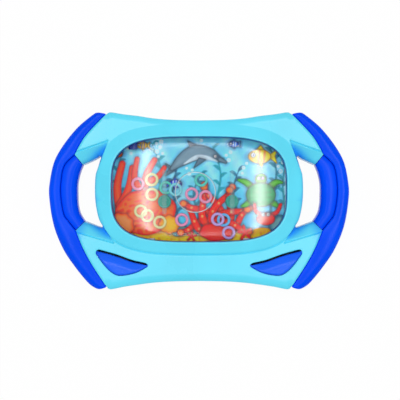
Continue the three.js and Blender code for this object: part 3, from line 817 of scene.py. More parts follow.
# Levels of the shells' outer walls, as shares from the rounded edge to the seam.
WALL_SHARES = (0, 0.3, 0.6, 0.94, 1)
# Thickness of the rear shell as a share of the front's, and the bore that the filler neck passes through.
REAR_WALL_SHARE = 0.8
NECK_GAP = 0.3 * MM
NECK_BORE_LENGTH = 30 * MM
NECK_POINTS = 48
# Distances in millimetres of the rows of points beside an edge, closer where the surface turns fast.
OUTLINE_ROWS = (0.06, 0.2, 0.42, 0.75, 1.2, 1.8, 2.6, 3.4)
REAR_ROWS = OUTLINE_ROWS[:6]
LIP_ROWS = (0.12, 0.3, 0.6)
RIM_ROWS = (0.05, 0.17, 0.35, 0.6, 0.9, 1.25)
FOOT_ROWS = (-0.8, -0.45, -0.2, 0, 0.2, 0.45, 0.8)
CREASE_ROWS = (-0.95, -0.6, -0.32, 0, 0.32, 0.6, 0.95)
MOUTH_ROWS = (0.1, 0.25, 0.45)
# A row keeps its points that are at least this share of its distance from the edge.
ROW_KEPT_SHARE = 0.85
CREASE_STEP = 0.8 * MM
FIN_STEP = 0.5 * MM
# Least distance of points from edges: rows beside them, creases, and the even field of front and rear.
ROW_CLEAR = 0.04 * MM
CREASE_CLEAR = 0.3 * MM
FIELD_CLEAR = (3.9 * MM, 1.7 * MM, 1.1 * MM, 1.1 * MM)
FIELD_FROM_CREASE = 0.7 * MM
REAR_SPACING = 3 * MM
REAR_CLEAR = (2.6 * MM, *(1.5 * MM,) * SCREWS)
WINDOW_POINTS = 300
WELL_POINTS = 40


def edge_curves():
    """Curves of the case's rounded edges, left and right, each with the width and height of its round."""
    return [
        (smooth_run(run) * (side, 1), width, height)
        for runs, width, height in EDGE_ROUNDS for run in runs for side in (1, -1)
    ]


def slope_lines(slope, side):
    """Crease and edge of one arm's slope in plan."""
    return [np.array(line) * (HALF_WIDTH * side, HALF_HEIGHT) for line in slope]


def slopes():
    """Crease and edge of all four slopes."""
    return [slope_lines(slope, side) for side in (-1, 1) for slope in (UPPER_SLOPE, LOWER_SLOPE)]


def beyond(line, points):
    """Signed distance of points from the straight line through two places."""
    along = line[1] - line[0]
    return (points - line[0]) @ np.array([-along[1], along[0]]) / np.linalg.norm(along)


def slope_places(plan, crease, edge):
    """Where places lie on a slope: past its crease, share of the way to its edge, and off its inner end."""
    turn = np.sign(beyond(crease, edge).mean())
    start, end = beyond(crease, plan) * turn, beyond(edge, plan) * turn
    share = np.clip(start / np.maximum(start - end, SLOPE_LEAST_WIDTH), *SLOPE_SHARES)
    inner = np.array([crease[1], edge[1]])
    reach = beyond(inner, plan) * np.sign(beyond(inner, crease[:1]))
    return start, share, reach * np.where(plan[:, 1] * crease[0, 1] > 0, 1, -1)


def painted_slope_shade(plan):
    """How much painted shade each place gets in the inner low corner of a slope, from 0 to 1."""
    corner = np.zeros(len(plan))
    for crease, edge in slopes():
        _, share, reach = slope_places(plan, crease, edge)
        near = ease(share * CORNER_RATE) * (1 - ease(reach / CORNER_LENGTH)) * (reach > -CORNER_OVERRUN)
        corner = np.maximum(corner, near * (plan[:, 0] * crease[0, 0] > 0))
    return corner


def slope_fall(plan, crease, edge, drop):
    """Ruled slope of an arm: it falls from its crease to its edge, more towards its inner end, with a groove.

    The share of the fall is softened at the crease by a hyperbola, and the groove is a bell curve.
    """
    start, share, reach = slope_places(plan, crease, edge)
    depth = drop * (1 - SLOPE_EASE * ease(reach / SLOPE_LENGTH))
    fall = depth * (share + np.sqrt(share**2 + SLOPE_ROUND**2)) / 2
    fall = fall + CREASE_GROOVE * np.exp(-((start / CREASE_GROOVE_WIDTH) ** 2))
    return fall * ease(reach / FLANK_WIDTH + 0.5) * (plan[:, 1] * crease[0, 1] > 0)


def slope_rows():
    """Points beside the crease and the inner end of each slope, so that the mesh follows them."""
    rows = []
    for crease, edge in slopes():
        for line in (crease, np.array([crease[1], edge[1]])):
            along = line[1] - line[0]
            aside = np.array([-along[1], along[0]]) / np.linalg.norm(along)
            share = np.linspace(0, 1, max(int(np.linalg.norm(along) / CREASE_STEP), 2))[:, None]
            rows += [line[0] + share * along + aside * d * MM for d in CREASE_ROWS]
    return np.vstack(rows)


def panel_level(plan, settings, edges):
    """Level of the front: panel, rim round the window with a groove at its foot, arm slopes and rounds.

    An edge's round is a quarter of an ellipse over the distance from the edge.
    """
    grow = window_grow(plan)
    width = settings.surround_width
    rim = settings.surround_rise * np.clip(1 - grow / width, 0, 1)
    groove = FOOT_GROOVE * np.exp(-(((grow - width) / FOOT_GROOVE_WIDTH) ** 2))
    level = PANEL + rim - groove * ease((FOOT_GROOVE_TOP - plan[:, 1]) / FOOT_GROOVE_FADE)
    for crease, edge in slopes():
        fall = slope_fall(plan, crease, edge, settings.slope_drop)
        level = level - fall * ease((grow - SLOPE_FROM_WINDOW) / SLOPE_FADE)
    drop = np.zeros(len(plan))
    for curve, wide, high in edges:
        near = np.clip(1 - nearest(plan, curve, False) / wide, 0, 1)
        drop = np.maximum(drop, high * (1 - np.sqrt(1 - near**2)))
    return level - drop - round_drop(np.maximum(grow, 0), LIP_ROUND)


def signed_area(loop):
    """Area inside a plan loop, positive where it runs counter-clockwise."""
    x, y = loop[:, 0], loop[:, 1]
    return (x * np.roll(y, -1) - np.roll(x, -1) * y).sum() / 2


def button_outline(count=150, spread=8, softness=1.5):
    """Fin of a left button, its corners softened by a running bell-shaped average along the loop."""
    runs = (BUTTON_TOP, BUTTON_RIGHT, BUTTON_BOTTOM, BUTTON_LEFT)
    loop = even_loop(join_runs(runs, FIN_STEP)[::-1], count)
    if signed_area(loop) < 0:
        loop = loop[::-1]
    steps = np.arange(-spread, spread + 1)
    weight = np.exp(-0.5 * (steps / softness) ** 2)
    weight /= weight.sum()
    return even_loop(sum(w * np.roll(loop, k, axis=0) for k, w in zip(steps, weight)), count)


def outline_rows(outline, distances):
    """Loops inside an outline, without the points that a corner has pushed closer than their distance."""
    loops = [(inset(outline, d * MM), ROW_KEPT_SHARE * d * MM) for d in distances]
    return [loop[nearest(loop, outline) > least] for loop, least in loops]


def front_points(outline, opening, wells, spacing, foot):
    """Points between the front's loops: rows beside edges and creases, and an even field over the rest."""
    cuts = [opening, *wells]
    rims = [window_loop(d * MM, WINDOW_POINTS) for d in RIM_ROWS]
    feet = [window_loop(foot + d * MM, WINDOW_POINTS) for d in FOOT_ROWS]
    lips = [inset(loop, -d * MM) for loop in wells for d in LIP_ROWS]
    close = np.vstack(outline_rows(outline, OUTLINE_ROWS) + rims + lips)
    creases = filtered(np.vstack([slope_rows(), *feet]), outline, cuts, [CREASE_CLEAR] * 4)
    field = filtered(staggered(outline, spacing), outline, cuts, FIELD_CLEAR)
    return np.vstack([
        filtered(close, outline, cuts, [ROW_CLEAR] * 4),
        creases,
        field[nearest_point(field, creases) > FIELD_FROM_CREASE],
    ])


def front_parts(settings):
    """Front shell: the sheet over the plan, the outer wall, and the walls of window and button wells."""
    outline, opening, edges = body_loop(), window_loop(0), edge_curves()
    wells = [inset(loop, -WELL_GAP) for loop in (button_outline(), mirrored(button_outline()))]

    def height(plan):
        level = panel_level(plan, settings, edges)
        for loop in wells:
            level = level - round_drop(nearest(plan, loop), WELL_GAP)
        return level

    points = front_points(outline, opening, wells, settings.spacing, settings.surround_width)
    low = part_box("front_shell")[0].z
    top = height(outline)
    parts = [plan_sheet(outline, [opening, *wells], points, height)]
    parts.append(walls([lift(outline, top + (low - top) * share) for share in WALL_SHARES]))
    for loop, levels in ((opening, OPENING_WALL), *((loop, WELL_WALL) for loop in wells)):
        parts.append(walls([lift(loop, height(loop)), *[lift(loop, level) for level in levels]]))
    return parts


def plan_circle(place, radius):
    """Circle in plan round a place."""
    return turned_loops(*place, [(radius, 0)], WELL_POINTS)[0][:, :2]


def rear_parts():
    """Rear shell: the flat back with rounded edges, the outer wall, and the stepped wells of the screws."""
    outline = body_loop()
    places = [(side * x * HALF_WIDTH, y * HALF_HEIGHT) for side in (-1, 1) for x, y in BOSSES]
    mouths = [plan_circle(place, SCREW_WELL_RADIUS) for place in places]

    def height(plan):
        level = round_drop(nearest(plan, outline), BACK_ROUND)
        for mouth in mouths:
            level = level + round_drop(nearest(plan, mouth), SCREW_MOUTH_ROUND)
        return level

    rows = [plan_circle(place, SCREW_WELL_RADIUS + d * MM) for place in places for d in MOUTH_ROWS]
    close = np.vstack(outline_rows(outline, REAR_ROWS) + rows)
    points = np.vstack([
        filtered(close, outline, mouths, [ROW_CLEAR] * (1 + SCREWS)),
        filtered(staggered(outline, REAR_SPACING), outline, mouths, REAR_CLEAR),
    ])
    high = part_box("rear_shell")[1].z
    start = height(outline)
    parts = [plan_sheet(outline, mouths, points, height)]
    parts.append(walls([lift(outline, start + (high - start) * share) for share in WALL_SHARES]))
    for place, mouth in zip(places, mouths):
        well = [lift(mouth, height(mouth)), lift(mouth, SCREW_WELL_WALL)]
        parts.append(walls(well + turned_loops(*place, SCREW_WELL, WELL_POINTS)))
    return parts


def walls(loops):
    """Faces between successive loops of one count, stacked row by row."""
    loops = np.asarray(loops, float)
    return loops.reshape(-1, 3), grid_faces(*loops.shape[:2])


def gathered(name, parts, wall):
    """One sheet made of parts whose edges meet, merged, turned outwards and given its thickness inwards."""
    vertices, faces, start = [], [], 0
    for points, found in parts:
        vertices.append(points)
        faces += (np.asarray(found) + start).tolist()
        start += len(points)
    piece = clean(new_piece(name, np.vstack(vertices), faces))
    thick = piece.modifiers.new("Wall", "SOLIDIFY")
    thick.thickness = wall
    thick.offset = -1
    return settle(piece)


def settle(piece):
    """Applies the modifiers, so that the mesh is final."""
    graph = bpy.context.evaluated_depsgraph_get()
    mesh = bpy.data.meshes.new_from_object(piece.evaluated_get(graph))
    piece.modifiers.clear()
    old = piece.data
    piece.data = mesh
    bpy.data.meshes.remove(old)
    return piece


def bored_for_neck(piece):
    """Cuts the round hole along Y that the filler neck passes through."""
    low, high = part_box("filler_neck")
    bpy.ops.mesh.primitive_cylinder_add(
        vertices=NECK_POINTS,
        radius=(high.x - low.x) / 2 + NECK_GAP,
        depth=NECK_BORE_LENGTH,
        location=((low.x + high.x) / 2, high.y, (low.z + high.z) / 2),
        rotation=(np.pi / 2, 0, 0),
    )
    cutter = bpy.context.active_object
    bore = piece.modifiers.new("Bore", "BOOLEAN")
    bore.object = cutter
    bore.operation = "DIFFERENCE"
    bore.solver = "EXACT"
    settle(piece)
    bpy.data.objects.remove(cutter)
    return piece


def rounded_by_angle(piece, angle=0.6):
    """Shades smooth but keeps edges sharper than the angle, which is in radians."""
    piece.data.shade_smooth()
    work = bmesh.new()
    work.from_mesh(piece.data)
    for edge in work.edges:
        if edge.is_manifold and edge.calc_face_angle(0) > angle:
            edge.smooth = False
    work.to_mesh(piece.data)
    work.free()
    return piece


class RINGTOSS_OT_case(bpy.types.Operator):
    """Front and rear shells, each a sheet over the plan of the case with walls, made solid inwards"""

    bl_idname = "ringtoss.case"
    bl_label = "Case"

    def execute(self, context):
        settings = context.scene.ringtoss_case
        # Painted shade: the case colour darkened to a deeper blue in the low inner corners of the arm slopes.
        painted_shade_colour = tuple(np.array(tuple(settings.colour)[:3]) * PAINTED_CORNER_SHADE)
        paint = moulded("Body plastic", settings.colour, 0.27, painted_shade_colour=painted_shade_colour)
        front = bored_for_neck(gathered("front_body", front_parts(settings), settings.wall))
        mark(front, "corner", painted_slope_shade(vertex_places(front)[:, :2].astype(float)))
        dress(rounded_by_angle(front), paint, "case", "case_blue", "front_shell")
        rear = bored_for_neck(gathered("rear_body", rear_parts(), settings.wall * REAR_WALL_SHARE))
        dress(rounded_by_angle(rear), paint, "case", "case_blue", "rear_shell")
        steel = metal("Screw steel", (0.56, 0.57, 0.6), 0.3)
        repaint(steel, *[f"case_screw_{i}" for i in range(1, SCREWS + 1)])
        return {"FINISHED"}


# Grips and buttons.

GRIP_POINTS = 150
SECTION_STEPS = 7
# A rounded edge takes at most this share of the grip's width.
LARGEST_ROUND = 0.45
# Grip band: how far it stands out from its outline, its round at the seam, and its crown.
BAND_STAND_OUT = 0.25 * MM
BAND_SEAM_ROUND = 1.1 * MM
BAND_CROWN = 0.6 * MM
# Grip bar: its round at the seam, its crown, and the share of its length that is left off at each end.
BAR_SEAM_ROUND = 1.6 * MM
BAR_CROWN = 0.5 * MM
BAR_END = 0.004
# Width from which a grip has its whole crown.
CROWNED_WIDTH = 10 * MM
# Button: its stem in the bellows, and the flange that holds it under the case.
STEM_RADIUS = 4 * MM
FLANGE_REACH = 1.4 * MM
FLANGE_LEVELS = (27.7 * MM, 29.2 * MM)
# Slot along a button's upper edge: its width, and where it starts and ends to close.
SLOT_WIDTH = 1.2 * MM
SLOT_START = 0.3 * MM
SLOT_FADE = 2 * MM
# Top of a button: length over which it sinks to its upper edge, its rounded shoulder and its crown.
TILT_LENGTH = 9 * MM
SHOULDER_DROP = 1.5 * MM
SHOULDER_WIDTH = 1.3 * MM
SHOULDER_DEGREES = (18, 36, 54, 72, 90)
TOP_CROWN = 0.3 * MM
TOP_SHARES = (0.94, 0.84, 0.7, 0.54, 0.37, 0.2, 0.06)
BUTTON_STEP = 0.6 * MM


def corner_profile(width, low, high, near_round, far_round):
    """Section across a grip as shares of its width and levels: a block with quarter rounds at its edges."""
    near = np.minimum(near_round, LARGEST_ROUND * width)[:, None]
    far = np.minimum(far_round, LARGEST_ROUND * width)[:, None]
    angle = np.linspace(0, np.pi / 2, SECTION_STEPS)[None]
    back = angle[:, ::-1]
    wide = width[:, None]
    across = [
        near * (1 - np.cos(angle)), wide - far * (1 - np.cos(back)),
        wide - far * (1 - np.cos(angle)), near * (1 - np.cos(back)),
    ]
    level = [
        high - near * (1 - np.sin(angle)), high - far * (1 - np.sin(back)),
        low + far * (1 - np.sin(angle)), low + near * (1 - np.sin(back)),
    ]
    return np.concatenate(across, axis=1) / wide, np.concatenate(level, axis=1)


def shifted(run, distance):
    """Open run moved sideways along its normals."""
    along = np.gradient(run, axis=0)
    along /= np.linalg.norm(along, axis=1)[:, None]
    return run + distance * np.stack([-along[:, 1], along[:, 0]], axis=1)


def grip_piece(name, node, turn, curves, rounds, crown):
    """Grip between two plan curves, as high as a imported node: a rounded section carried along both of them.

    The crown is a parabola across the top, lower where the grip is narrow.
    """
    low, high = (corner.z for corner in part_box(node))
    near, far = curves
    width = np.linalg.norm(far - near, axis=1)
    share, level = corner_profile(width, low, high, *rounds)
    bend = (level > (low + high) / 2) * (1 - (2 * share - 1) ** 2)
    level = level + crown * bend * np.minimum(width / CROWNED_WIDTH, 1)[:, None]
    plan = near[:, None, :] + share[..., None] * (far - near)[:, None, :]
    loops = np.concatenate([plan * (turn, 1), level[..., None]], axis=2)
    return rounded_by_angle(skin(name, loops), 0.7)


def band_curves():
    """Inner and outer curve of a grip band, without their ends, where they meet."""
    seam = np.vstack([smooth_run(UPPER_SEAM)[:-1], smooth_run(BAR_SEAM)[:-1], smooth_run(LOWER_SEAM)])
    outer = even_run(shifted(smooth_run(BAND_OUTER), BAND_STAND_OUT), GRIP_POINTS)
    return shifted(even_run(seam, GRIP_POINTS), -SEAM)[1:-1], outer[1:-1]


def bar_curves():
    """Finger side and seam side of a grip bar, a little shorter than their runs."""
    index = np.arange(GRIP_POINTS)
    place = np.linspace(BAR_END, 1 - BAR_END, GRIP_POINTS) * (GRIP_POINTS - 1)
    inner, outer = (even_run(smooth_run(run), GRIP_POINTS) for run in (BAR_INNER, BAR_SEAM))
    runs = (inner, shifted(outer, SEAM))
    return [np.stack([np.interp(place, index, run[:, k]) for k in (0, 1)], axis=1) for run in runs]


class RINGTOSS_OT_grips(bpy.types.Operator):
    """Two crescent grip bands and the two finger bars inside them"""

    bl_idname = "ringtoss.grips"
    bl_label = "Grips"

    def execute(self, context):
        settings = context.scene.ringtoss_grip
        paint = moulded("Grip plastic", settings.colour, 0.2, 0.86, 0.035)
        band_rounds = (BAND_SEAM_ROUND, settings.band_round)
        bar_rounds = (settings.bar_round, BAR_SEAM_ROUND)
        for turn, word in SIDES:
            for part, curves, rounds, crown in (
                ("band", band_curves(), band_rounds, BAND_CROWN),
                ("bar", bar_curves(), bar_rounds, BAR_CROWN),
            ):
                node = f"{word}_grip_{part}"
                piece = grip_piece(f"{word}_{part}", node, turn, curves, rounds, crown)
                dress(piece, paint, "case", "grip_blue", node)
        return {"FINISHED"}


def button_rows(low, high, tilt):
    """Loops of a left button from its foot up: stem, flange, side, quarter-round shoulder and crowned top."""
    outline, upper = button_outline(), smooth_run(BUTTON_TOP, BUTTON_STEP)
    middle = outline.mean(axis=0)
    heading = np.arctan2(*(outline - middle).T[::-1])
    circle = np.stack([np.cos(heading), np.sin(heading)], axis=1)
    stem = np.array(PUMP) * (HALF_WIDTH, HALF_HEIGHT) + STEM_RADIUS * circle
    slot = 1 - ease((nearest(outline, upper, False) - SLOT_START) / SLOT_FADE)
    flange = inset(outline, slot * SLOT_WIDTH - (1 - slot) * FLANGE_REACH)
    rim = inset(outline, slot * SLOT_WIDTH)

    def top(loop, under):
        sunk = tilt * (1 - ease(nearest(loop, upper, False) / TILT_LENGTH))
        return lift(loop, high - sunk - under)

    below, above = FLANGE_LEVELS
    rows = [lift(stem, low), lift(stem, below), lift(flange, below), lift(flange, above), lift(rim, above)]
    rows.append(top(rim, SHOULDER_DROP))
    for angle in np.radians(SHOULDER_DEGREES):
        loop = inset(rim, SHOULDER_WIDTH * (1 - np.cos(angle)))
        rows.append(top(loop, SHOULDER_DROP - (SHOULDER_DROP - TOP_CROWN) * np.sin(angle)))
    for share in TOP_SHARES:
        rows.append(top(middle + (inset(rim, SHOULDER_WIDTH) - middle) * share, TOP_CROWN * share**2))
    return np.array(rows)


class RINGTOSS_OT_buttons(bpy.types.Operator):
    """Two fin-shaped pump buttons: stem, flange, cap and a top that sinks towards its upper edge"""

    bl_idname = "ringtoss.buttons"
    bl_label = "Buttons"

    def execute(self, context):
        settings = context.scene.ringtoss_grip
        paint = moulded("Button plastic", settings.button, 0.2, 0.8, 0.1)
        low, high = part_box("left_button")
        rows = button_rows(low.z, high.z, settings.button_tilt)
        for turn, word in SIDES:
            piece = rounded_by_angle(skin(f"{word}_pump_button", rows * (turn, 1, 1)), 0.75)
            dress(piece, paint, f"{word}_button", "grip_blue", f"{word}_button")
        return {"FINISHED"}


# Pumps, pegs and rings.

# Bellows: folds, their depth, the flat ends as a share of the half width, and its rings and points.
FOLDS = 4
FOLD_DEPTH = 0.9 * MM
END_SHARE = 0.5
BELLOWS_RINGS = 65
BELLOWS_POINTS = 64
# A button goes down 4 of the 17.3 millimetres of its bellows.
# Peg post: its radius, its axis under the top, the taper at its foot and the round at its tip.
POST_RADIUS = 1.85 * MM
POST_DEPTH = 1.9 * MM
FOOT_SHARE = 0.6
FOOT_TAPER = 0.8 * MM
TIP_LENGTH = 3 * MM
TIP_RADIUS = 0.02 * MM
TIP_STEPS = 9
POST_POINTS = 40
# Peg boss: how far its middle lies from the post's foot, and its rim as distances in from its edge and down
# from the post's axis.
BOSS_PLACE = 10 * MM
BOSS_RIM = ((0, 3.4), (0.35, 2.6), (1.3, 2.3), (2, 2.8))
BOSS_HOLLOW_SHARE = 0.3
BOSS_POINTS = 56
# Half of a ring's width across its section, and the points round the section.
RING_TUBE = 1.1 * MM
RING_SECTION = 24


class RINGTOSS_OT_pumps(bpy.types.Operator):
    """Rubber bellows turned from a wavy profile"""

    bl_idname = "ringtoss.pumps"
    bl_label = "Pumps"

    def execute(self, context):
        rubber = moulded("Bellows rubber", (0.05, 0.055, 0.06), 0.55)
        for _, word in SIDES:
            low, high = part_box(f"{word}_pump_bellows")
            x, y, wide = (low.x + high.x) / 2, (low.y + high.y) / 2, (high.x - low.x) / 2
            share = np.linspace(0, 1, BELLOWS_RINGS)
            radius = wide - FOLD_DEPTH * (1 - np.cos(2 * np.pi * FOLDS * share + np.pi))
            level = low.z + (high.z - low.z) * share
            profile = [(wide * END_SHARE, low.z), *zip(radius, level), (wide * END_SHARE, high.z)]
            piece = skin(f"{word}_bellows", turned_loops(x, y, profile, BELLOWS_POINTS))
            dress(piece, rubber, "case", "pump_rubber", f"{word}_pump_bellows")
            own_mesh(piece)
        base = moulded("Pump plastic", (0.75, 0.77, 0.78), 0.4)
        parts = ("pump_base", "pump_hose", "nozzle")
        repaint(base, *[f"{word}_{part}" for _, word in SIDES for part in parts])
        return {"FINISHED"}


def spindle(name, x, z, profile):
    """Surface turned about an axis along Y from radii and places along it."""
    angle = np.linspace(0, 2 * np.pi, POST_POINTS, endpoint=False)
    radius, place = np.array(profile).T
    across = x + radius[:, None] * np.cos(angle)
    along = np.broadcast_to(place[:, None], across.shape)
    return skin(name, np.stack([across, along, z + radius[:, None] * np.sin(angle)], axis=2))


def peg_post(name, low, high):
    """Post that lies along the picture: a tapered foot, a straight rod and a tip round as an ellipse."""
    turn = np.linspace(0, np.pi / 2, TIP_STEPS)
    profile = [(FOOT_SHARE * POST_RADIUS, low.y), (POST_RADIUS, low.y + FOOT_TAPER)]
    tip = high.y - TIP_LENGTH
    profile += [(POST_RADIUS * np.cos(a) + TIP_RADIUS, tip + TIP_LENGTH * np.sin(a)) for a in turn]
    return rounded_by_angle(spindle(name, (low.x + high.x) / 2, high.z - POST_DEPTH, profile), 1.0)


def peg_boss(name, low, high):
    """Round boss under a post, with a raised rim and a hollow middle."""
    wide, axis = (high.x - low.x) / 2, high.z - POST_DEPTH
    profile = [(wide, low.z), *[(wide - inward * MM, axis - down * MM) for inward, down in BOSS_RIM]]
    profile.append((wide * BOSS_HOLLOW_SHARE, profile[-1][1]))
    loops = turned_loops((low.x + high.x) / 2, low.y + BOSS_PLACE, profile, BOSS_POINTS)
    return rounded_by_angle(skin(name, loops), 1.0)


class RINGTOSS_OT_pegs(bpy.types.Operator):
    """Two clear teal posts, each lying along the picture on a round boss"""

    bl_idname = "ringtoss.pegs"
    bl_label = "Pegs"

    def execute(self, context):
        post = see_through("Peg post", linear("BFF2EA"), 0.13, 0.12)
        disc = see_through("Peg boss", linear("00A896"), 0.97, 0.12)
        for _, word in SIDES:
            low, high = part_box(f"{word}_peg")
            dress(peg_post(f"{word}_peg_post", low, high), post, "case", "peg_teal", f"{word}_peg")
            dress(peg_boss(f"{word}_peg_boss", low, high), disc, "case", "peg_teal")
        return {"FINISHED"}


def tossing_ring(name, low, high, around):
    """Ring that fills a box: a section round in width and flattened in height, carried round a circle."""
    turn = np.linspace(0, 2 * np.pi, around, endpoint=False)[:, None]
    bend = np.linspace(0, 2 * np.pi, RING_SECTION, endpoint=False)[None]
    reach = (high.x - low.x) / 2 - RING_TUBE + RING_TUBE * np.cos(bend)
    x = (low.x + high.x) / 2 + reach * np.cos(turn)
    y = (low.y + high.y) / 2 + reach * np.sin(turn)
    z = (low.z + high.z) / 2 + np.broadcast_to((high.z - low.z) / 2 * np.sin(bend), x.shape)
    points = np.stack([x, y, z], axis=2).reshape(-1, 3)
    return clean(new_piece(name, points, grid_faces(around, RING_SECTION, True, True)))


class RINGTOSS_OT_rings(bpy.types.Operator):
    """Fifteen tossing rings in six colours"""

    bl_idname = "ringtoss.rings"
    bl_label = "Rings"

    def execute(self, context):
        settings = context.scene.ringtoss_rings
        paints = {
            word: moulded(f"Ring {word}", getattr(settings, word), 0.28, 0.92)
            for word in ("pink", "yellow", "teal", "cyan", "blue", "purple")
        }
        for node in [name for name in frame["nodes"] if name.startswith("ring_")]:
            piece = tossing_ring(f"tossing_{node}", *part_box(node), settings.around)
            dress(piece, paints[node.split("_")[1]], node, node.rsplit("_", 1)[0], node)
        return {"FINISHED"}


# Window and picture.

# Window: level of its shoulder, its thickness, the gap to the case, and its flange as distances from the
# opening and levels in millimetres.
SHOULDER = 33.4 * MM
LENS_THICK = 1.6 * MM
LENS_GAP = 0.3 * MM
LENS_FLANGE = ((-1.6, 30.2), (4, 30.2), (4, 31.7), (-0.3, 31.7))
# The dome falls steeply near its edge, by a high power of the share of the way out.
EDGE_POWER = 24
LENS_ROWS = 40
LENS_POINTS = 320
# Loops of the dome crowd towards its edge by this power, and mirroring starts over this width inside it.
CROWDING = 1.3
MIRROR_FADE = 4 * MM
TANK_FLOOR = 14.5 * MM
# Air bubble: its middle, how far it hangs under the window, half its height, its rings and its points.
BUBBLE_PLACE = (-2.9 * MM, 6.9 * MM)
BUBBLE_DEPTH = 0.95 * MM
BUBBLE_HALF_HEIGHT = 0.6 * MM
BUBBLE_RINGS = 26
BUBBLE_POINTS = 120
BUBBLE_POLE = 0.04


def dome_rows(settings, distance, base, shares):
    """Loops of a dome from its middle to its edge or back: a parabola across the width, steep at the edge."""
    middle = np.array([0, WINDOW_Y])
    loop = window_loop(distance, LENS_POINTS)
    rows = []
    for share in shares:
        plan = middle + (loop - middle) * share
        bend = 1 - (plan[:, 0] / (WINDOW[0] + distance)) ** 2
        rows.append(lift(plan, base + settings.rise * bend * (1 - share**EDGE_POWER)))
    return rows


class RINGTOSS_OT_window(bpy.types.Operator):
    """Domed clear window over the tank: flange, shoulder and a dome bent across its width only"""

    bl_idname = "ringtoss.window"
    bl_label = "Window"

    def execute(self, context):
        settings = context.scene.ringtoss_window
        clear = see_through("Window plastic", (0.9, 0.97, 1.0), settings.tint, 0.13, True)
        shares = 1 - np.linspace(0, 1, LENS_ROWS)[:-1] ** CROWDING
        within = dome_rows(settings, -LENS_THICK, SHOULDER - LENS_THICK, shares[::-1])
        flange = [lift(window_loop(d * MM, LENS_POINTS), level * MM) for d, level in LENS_FLANGE]
        outside = dome_rows(settings, -LENS_GAP, SHOULDER, shares)
        piece = rounded_by_angle(skin("window", [*within, *flange, *outside]), 0.8)
        edge = ease(-window_grow(vertex_places(piece)[:, :2]) / MIRROR_FADE)
        mark(piece, "outer", edge * (vertex_normals(piece)[:, 2] > 0))
        dress(piece, clear, "case", "clear_plastic", "window_lens")
        repaint(tray_plastic("Tank plastic", TANK_FLOOR), "water_tank")
        repaint(moulded("Gasket rubber", linear("2A6FD8"), 0.5), "window_gasket")
        repaint(moulded("Neck plastic", linear("1C3F9E"), 0.35), "filler_neck")
        repaint(moulded("Plug rubber", linear("17307E"), 0.45), "filler_plug")
        return {"FINISHED"}


class RINGTOSS_OT_bubble(bpy.types.Operator):
    """Flat air bubble under the window: half an ellipse turned about an upright axis, bent like the window"""

    bl_idname = "ringtoss.bubble"
    bl_label = "Air bubble"

    def execute(self, context):
        settings = context.scene.ringtoss_window
        middle = np.array(BUBBLE_PLACE)
        angle = np.linspace(0, 2 * np.pi, BUBBLE_POINTS, endpoint=False)
        upper = np.linspace(BUBBLE_POLE, 1, BUBBLE_RINGS)
        turn = np.concatenate([upper, 2 - upper[-2::-1]]) * np.pi / 2
        reach = settings.bubble * np.sin(turn)
        plan = middle + reach[:, None, None] * np.stack([np.cos(angle), np.sin(angle)], axis=1)
        bend = 1 - (plan[..., 0] / (WINDOW[0] - LENS_THICK)) ** 2
        level = SHOULDER - LENS_THICK + settings.rise * bend - BUBBLE_DEPTH
        level = level + BUBBLE_HALF_HEIGHT * np.cos(turn)[:, None]
        piece = skin("air_bubble", np.concatenate([plan, level[..., None]], axis=2))
        mark(piece, "outer", np.linalg.norm(vertex_places(piece)[:, :2] - middle, axis=1) / settings.bubble)
        dress(piece, air_with_painted_rim("Air bubble"), "case", "clear_plastic")
        return {"FINISHED"}


# Printed picture: signed distances in millimetres, negative inside, laid over one another from back to front.

# Drawn shapes: width of their ink line, their shadow and their lighter middle, each with its softness.
INK_WIDTH = 0.5
SHADOW_REACH = 0.7
SHADOW_SHARE = 0.55
SHADOW_SOFTNESS = 1.7
LIGHT_INSET = 1.6
LIGHT_SHARE = 0.75
LIGHT_SOFTNESS = 1.1
# Points of a stroke's path, points worked out at a time, and waves in a ripple.
STROKE_POINTS = 28
STROKE_BLOCK = 8000
SINE_WAVES = 5
# Level of the foot of the water plants, and the leaves on each of them.
PLANT_FOOT = -26
LEAVES = 9
# Finish of the print: paper grain, strength of the colours, brightness and contrast.
PAPER_GRAIN = 0.05
PRINT_STRENGTH = 1.35
PRINT_BRIGHTNESS = 1.16
PRINT_CONTRAST = 1.28


def ripple(x, y, scale, seed=0.0):
    """Smooth pattern between about -1 and 1: the mean of sine waves in turned directions, each finer."""
    count = np.arange(SINE_WAVES)
    turn = count * 2.4 + seed
    wave = (np.cos(turn) * x[:, None] + np.sin(turn) * y[:, None]) * (1 + 0.37 * count) / scale
    return np.sin(wave + 1.7 * turn).mean(axis=1) * 1.6


def blob(x, y, middle, size, turn=0.0, lobes=0, wave=0.0):
    """Ellipse turned by an angle, its edge waved by a sine of the direction."""
    dx, dy = x - middle[0], y - middle[1]
    u = (dx * np.cos(turn) + dy * np.sin(turn)) / size[0]
    v = (dy * np.cos(turn) - dx * np.sin(turn)) / size[1]
    edge = 1 + wave * np.sin(lobes * np.arctan2(v, u))
    return (np.hypot(u, v) - edge) * min(size)


def stroke(x, y, path, start, end, bulge=0.0):
    """Brush stroke along a smooth path: distance from it less a half width that goes from start to end."""
    curve = even_run(spline(np.array(path, float)), STROKE_POINTS)
    points = np.column_stack([x, y])
    side = curve[1:] - curve[:-1]

    def work(block):
        offset = block[:, None, :] - curve[None, :-1]
        share = np.clip((offset * side).sum(axis=2) / (side**2).sum(axis=1), 0, 1)
        along = (np.arange(len(side)) + share) / len(side)
        half = start + (end - start) * along + bulge * np.sin(np.pi * along)
        return (np.linalg.norm(offset - share[..., None] * side, axis=2) - half).min(axis=1)

    return in_blocks(work, points, STROKE_BLOCK)


def polygon(x, y, corners):
    """Distance from a polygon's sides, negative inside it."""
    points, loop = np.column_stack([x, y]), np.array(corners, float)
    return nearest(points, loop) * np.where(inside(points, loop), -1, 1)


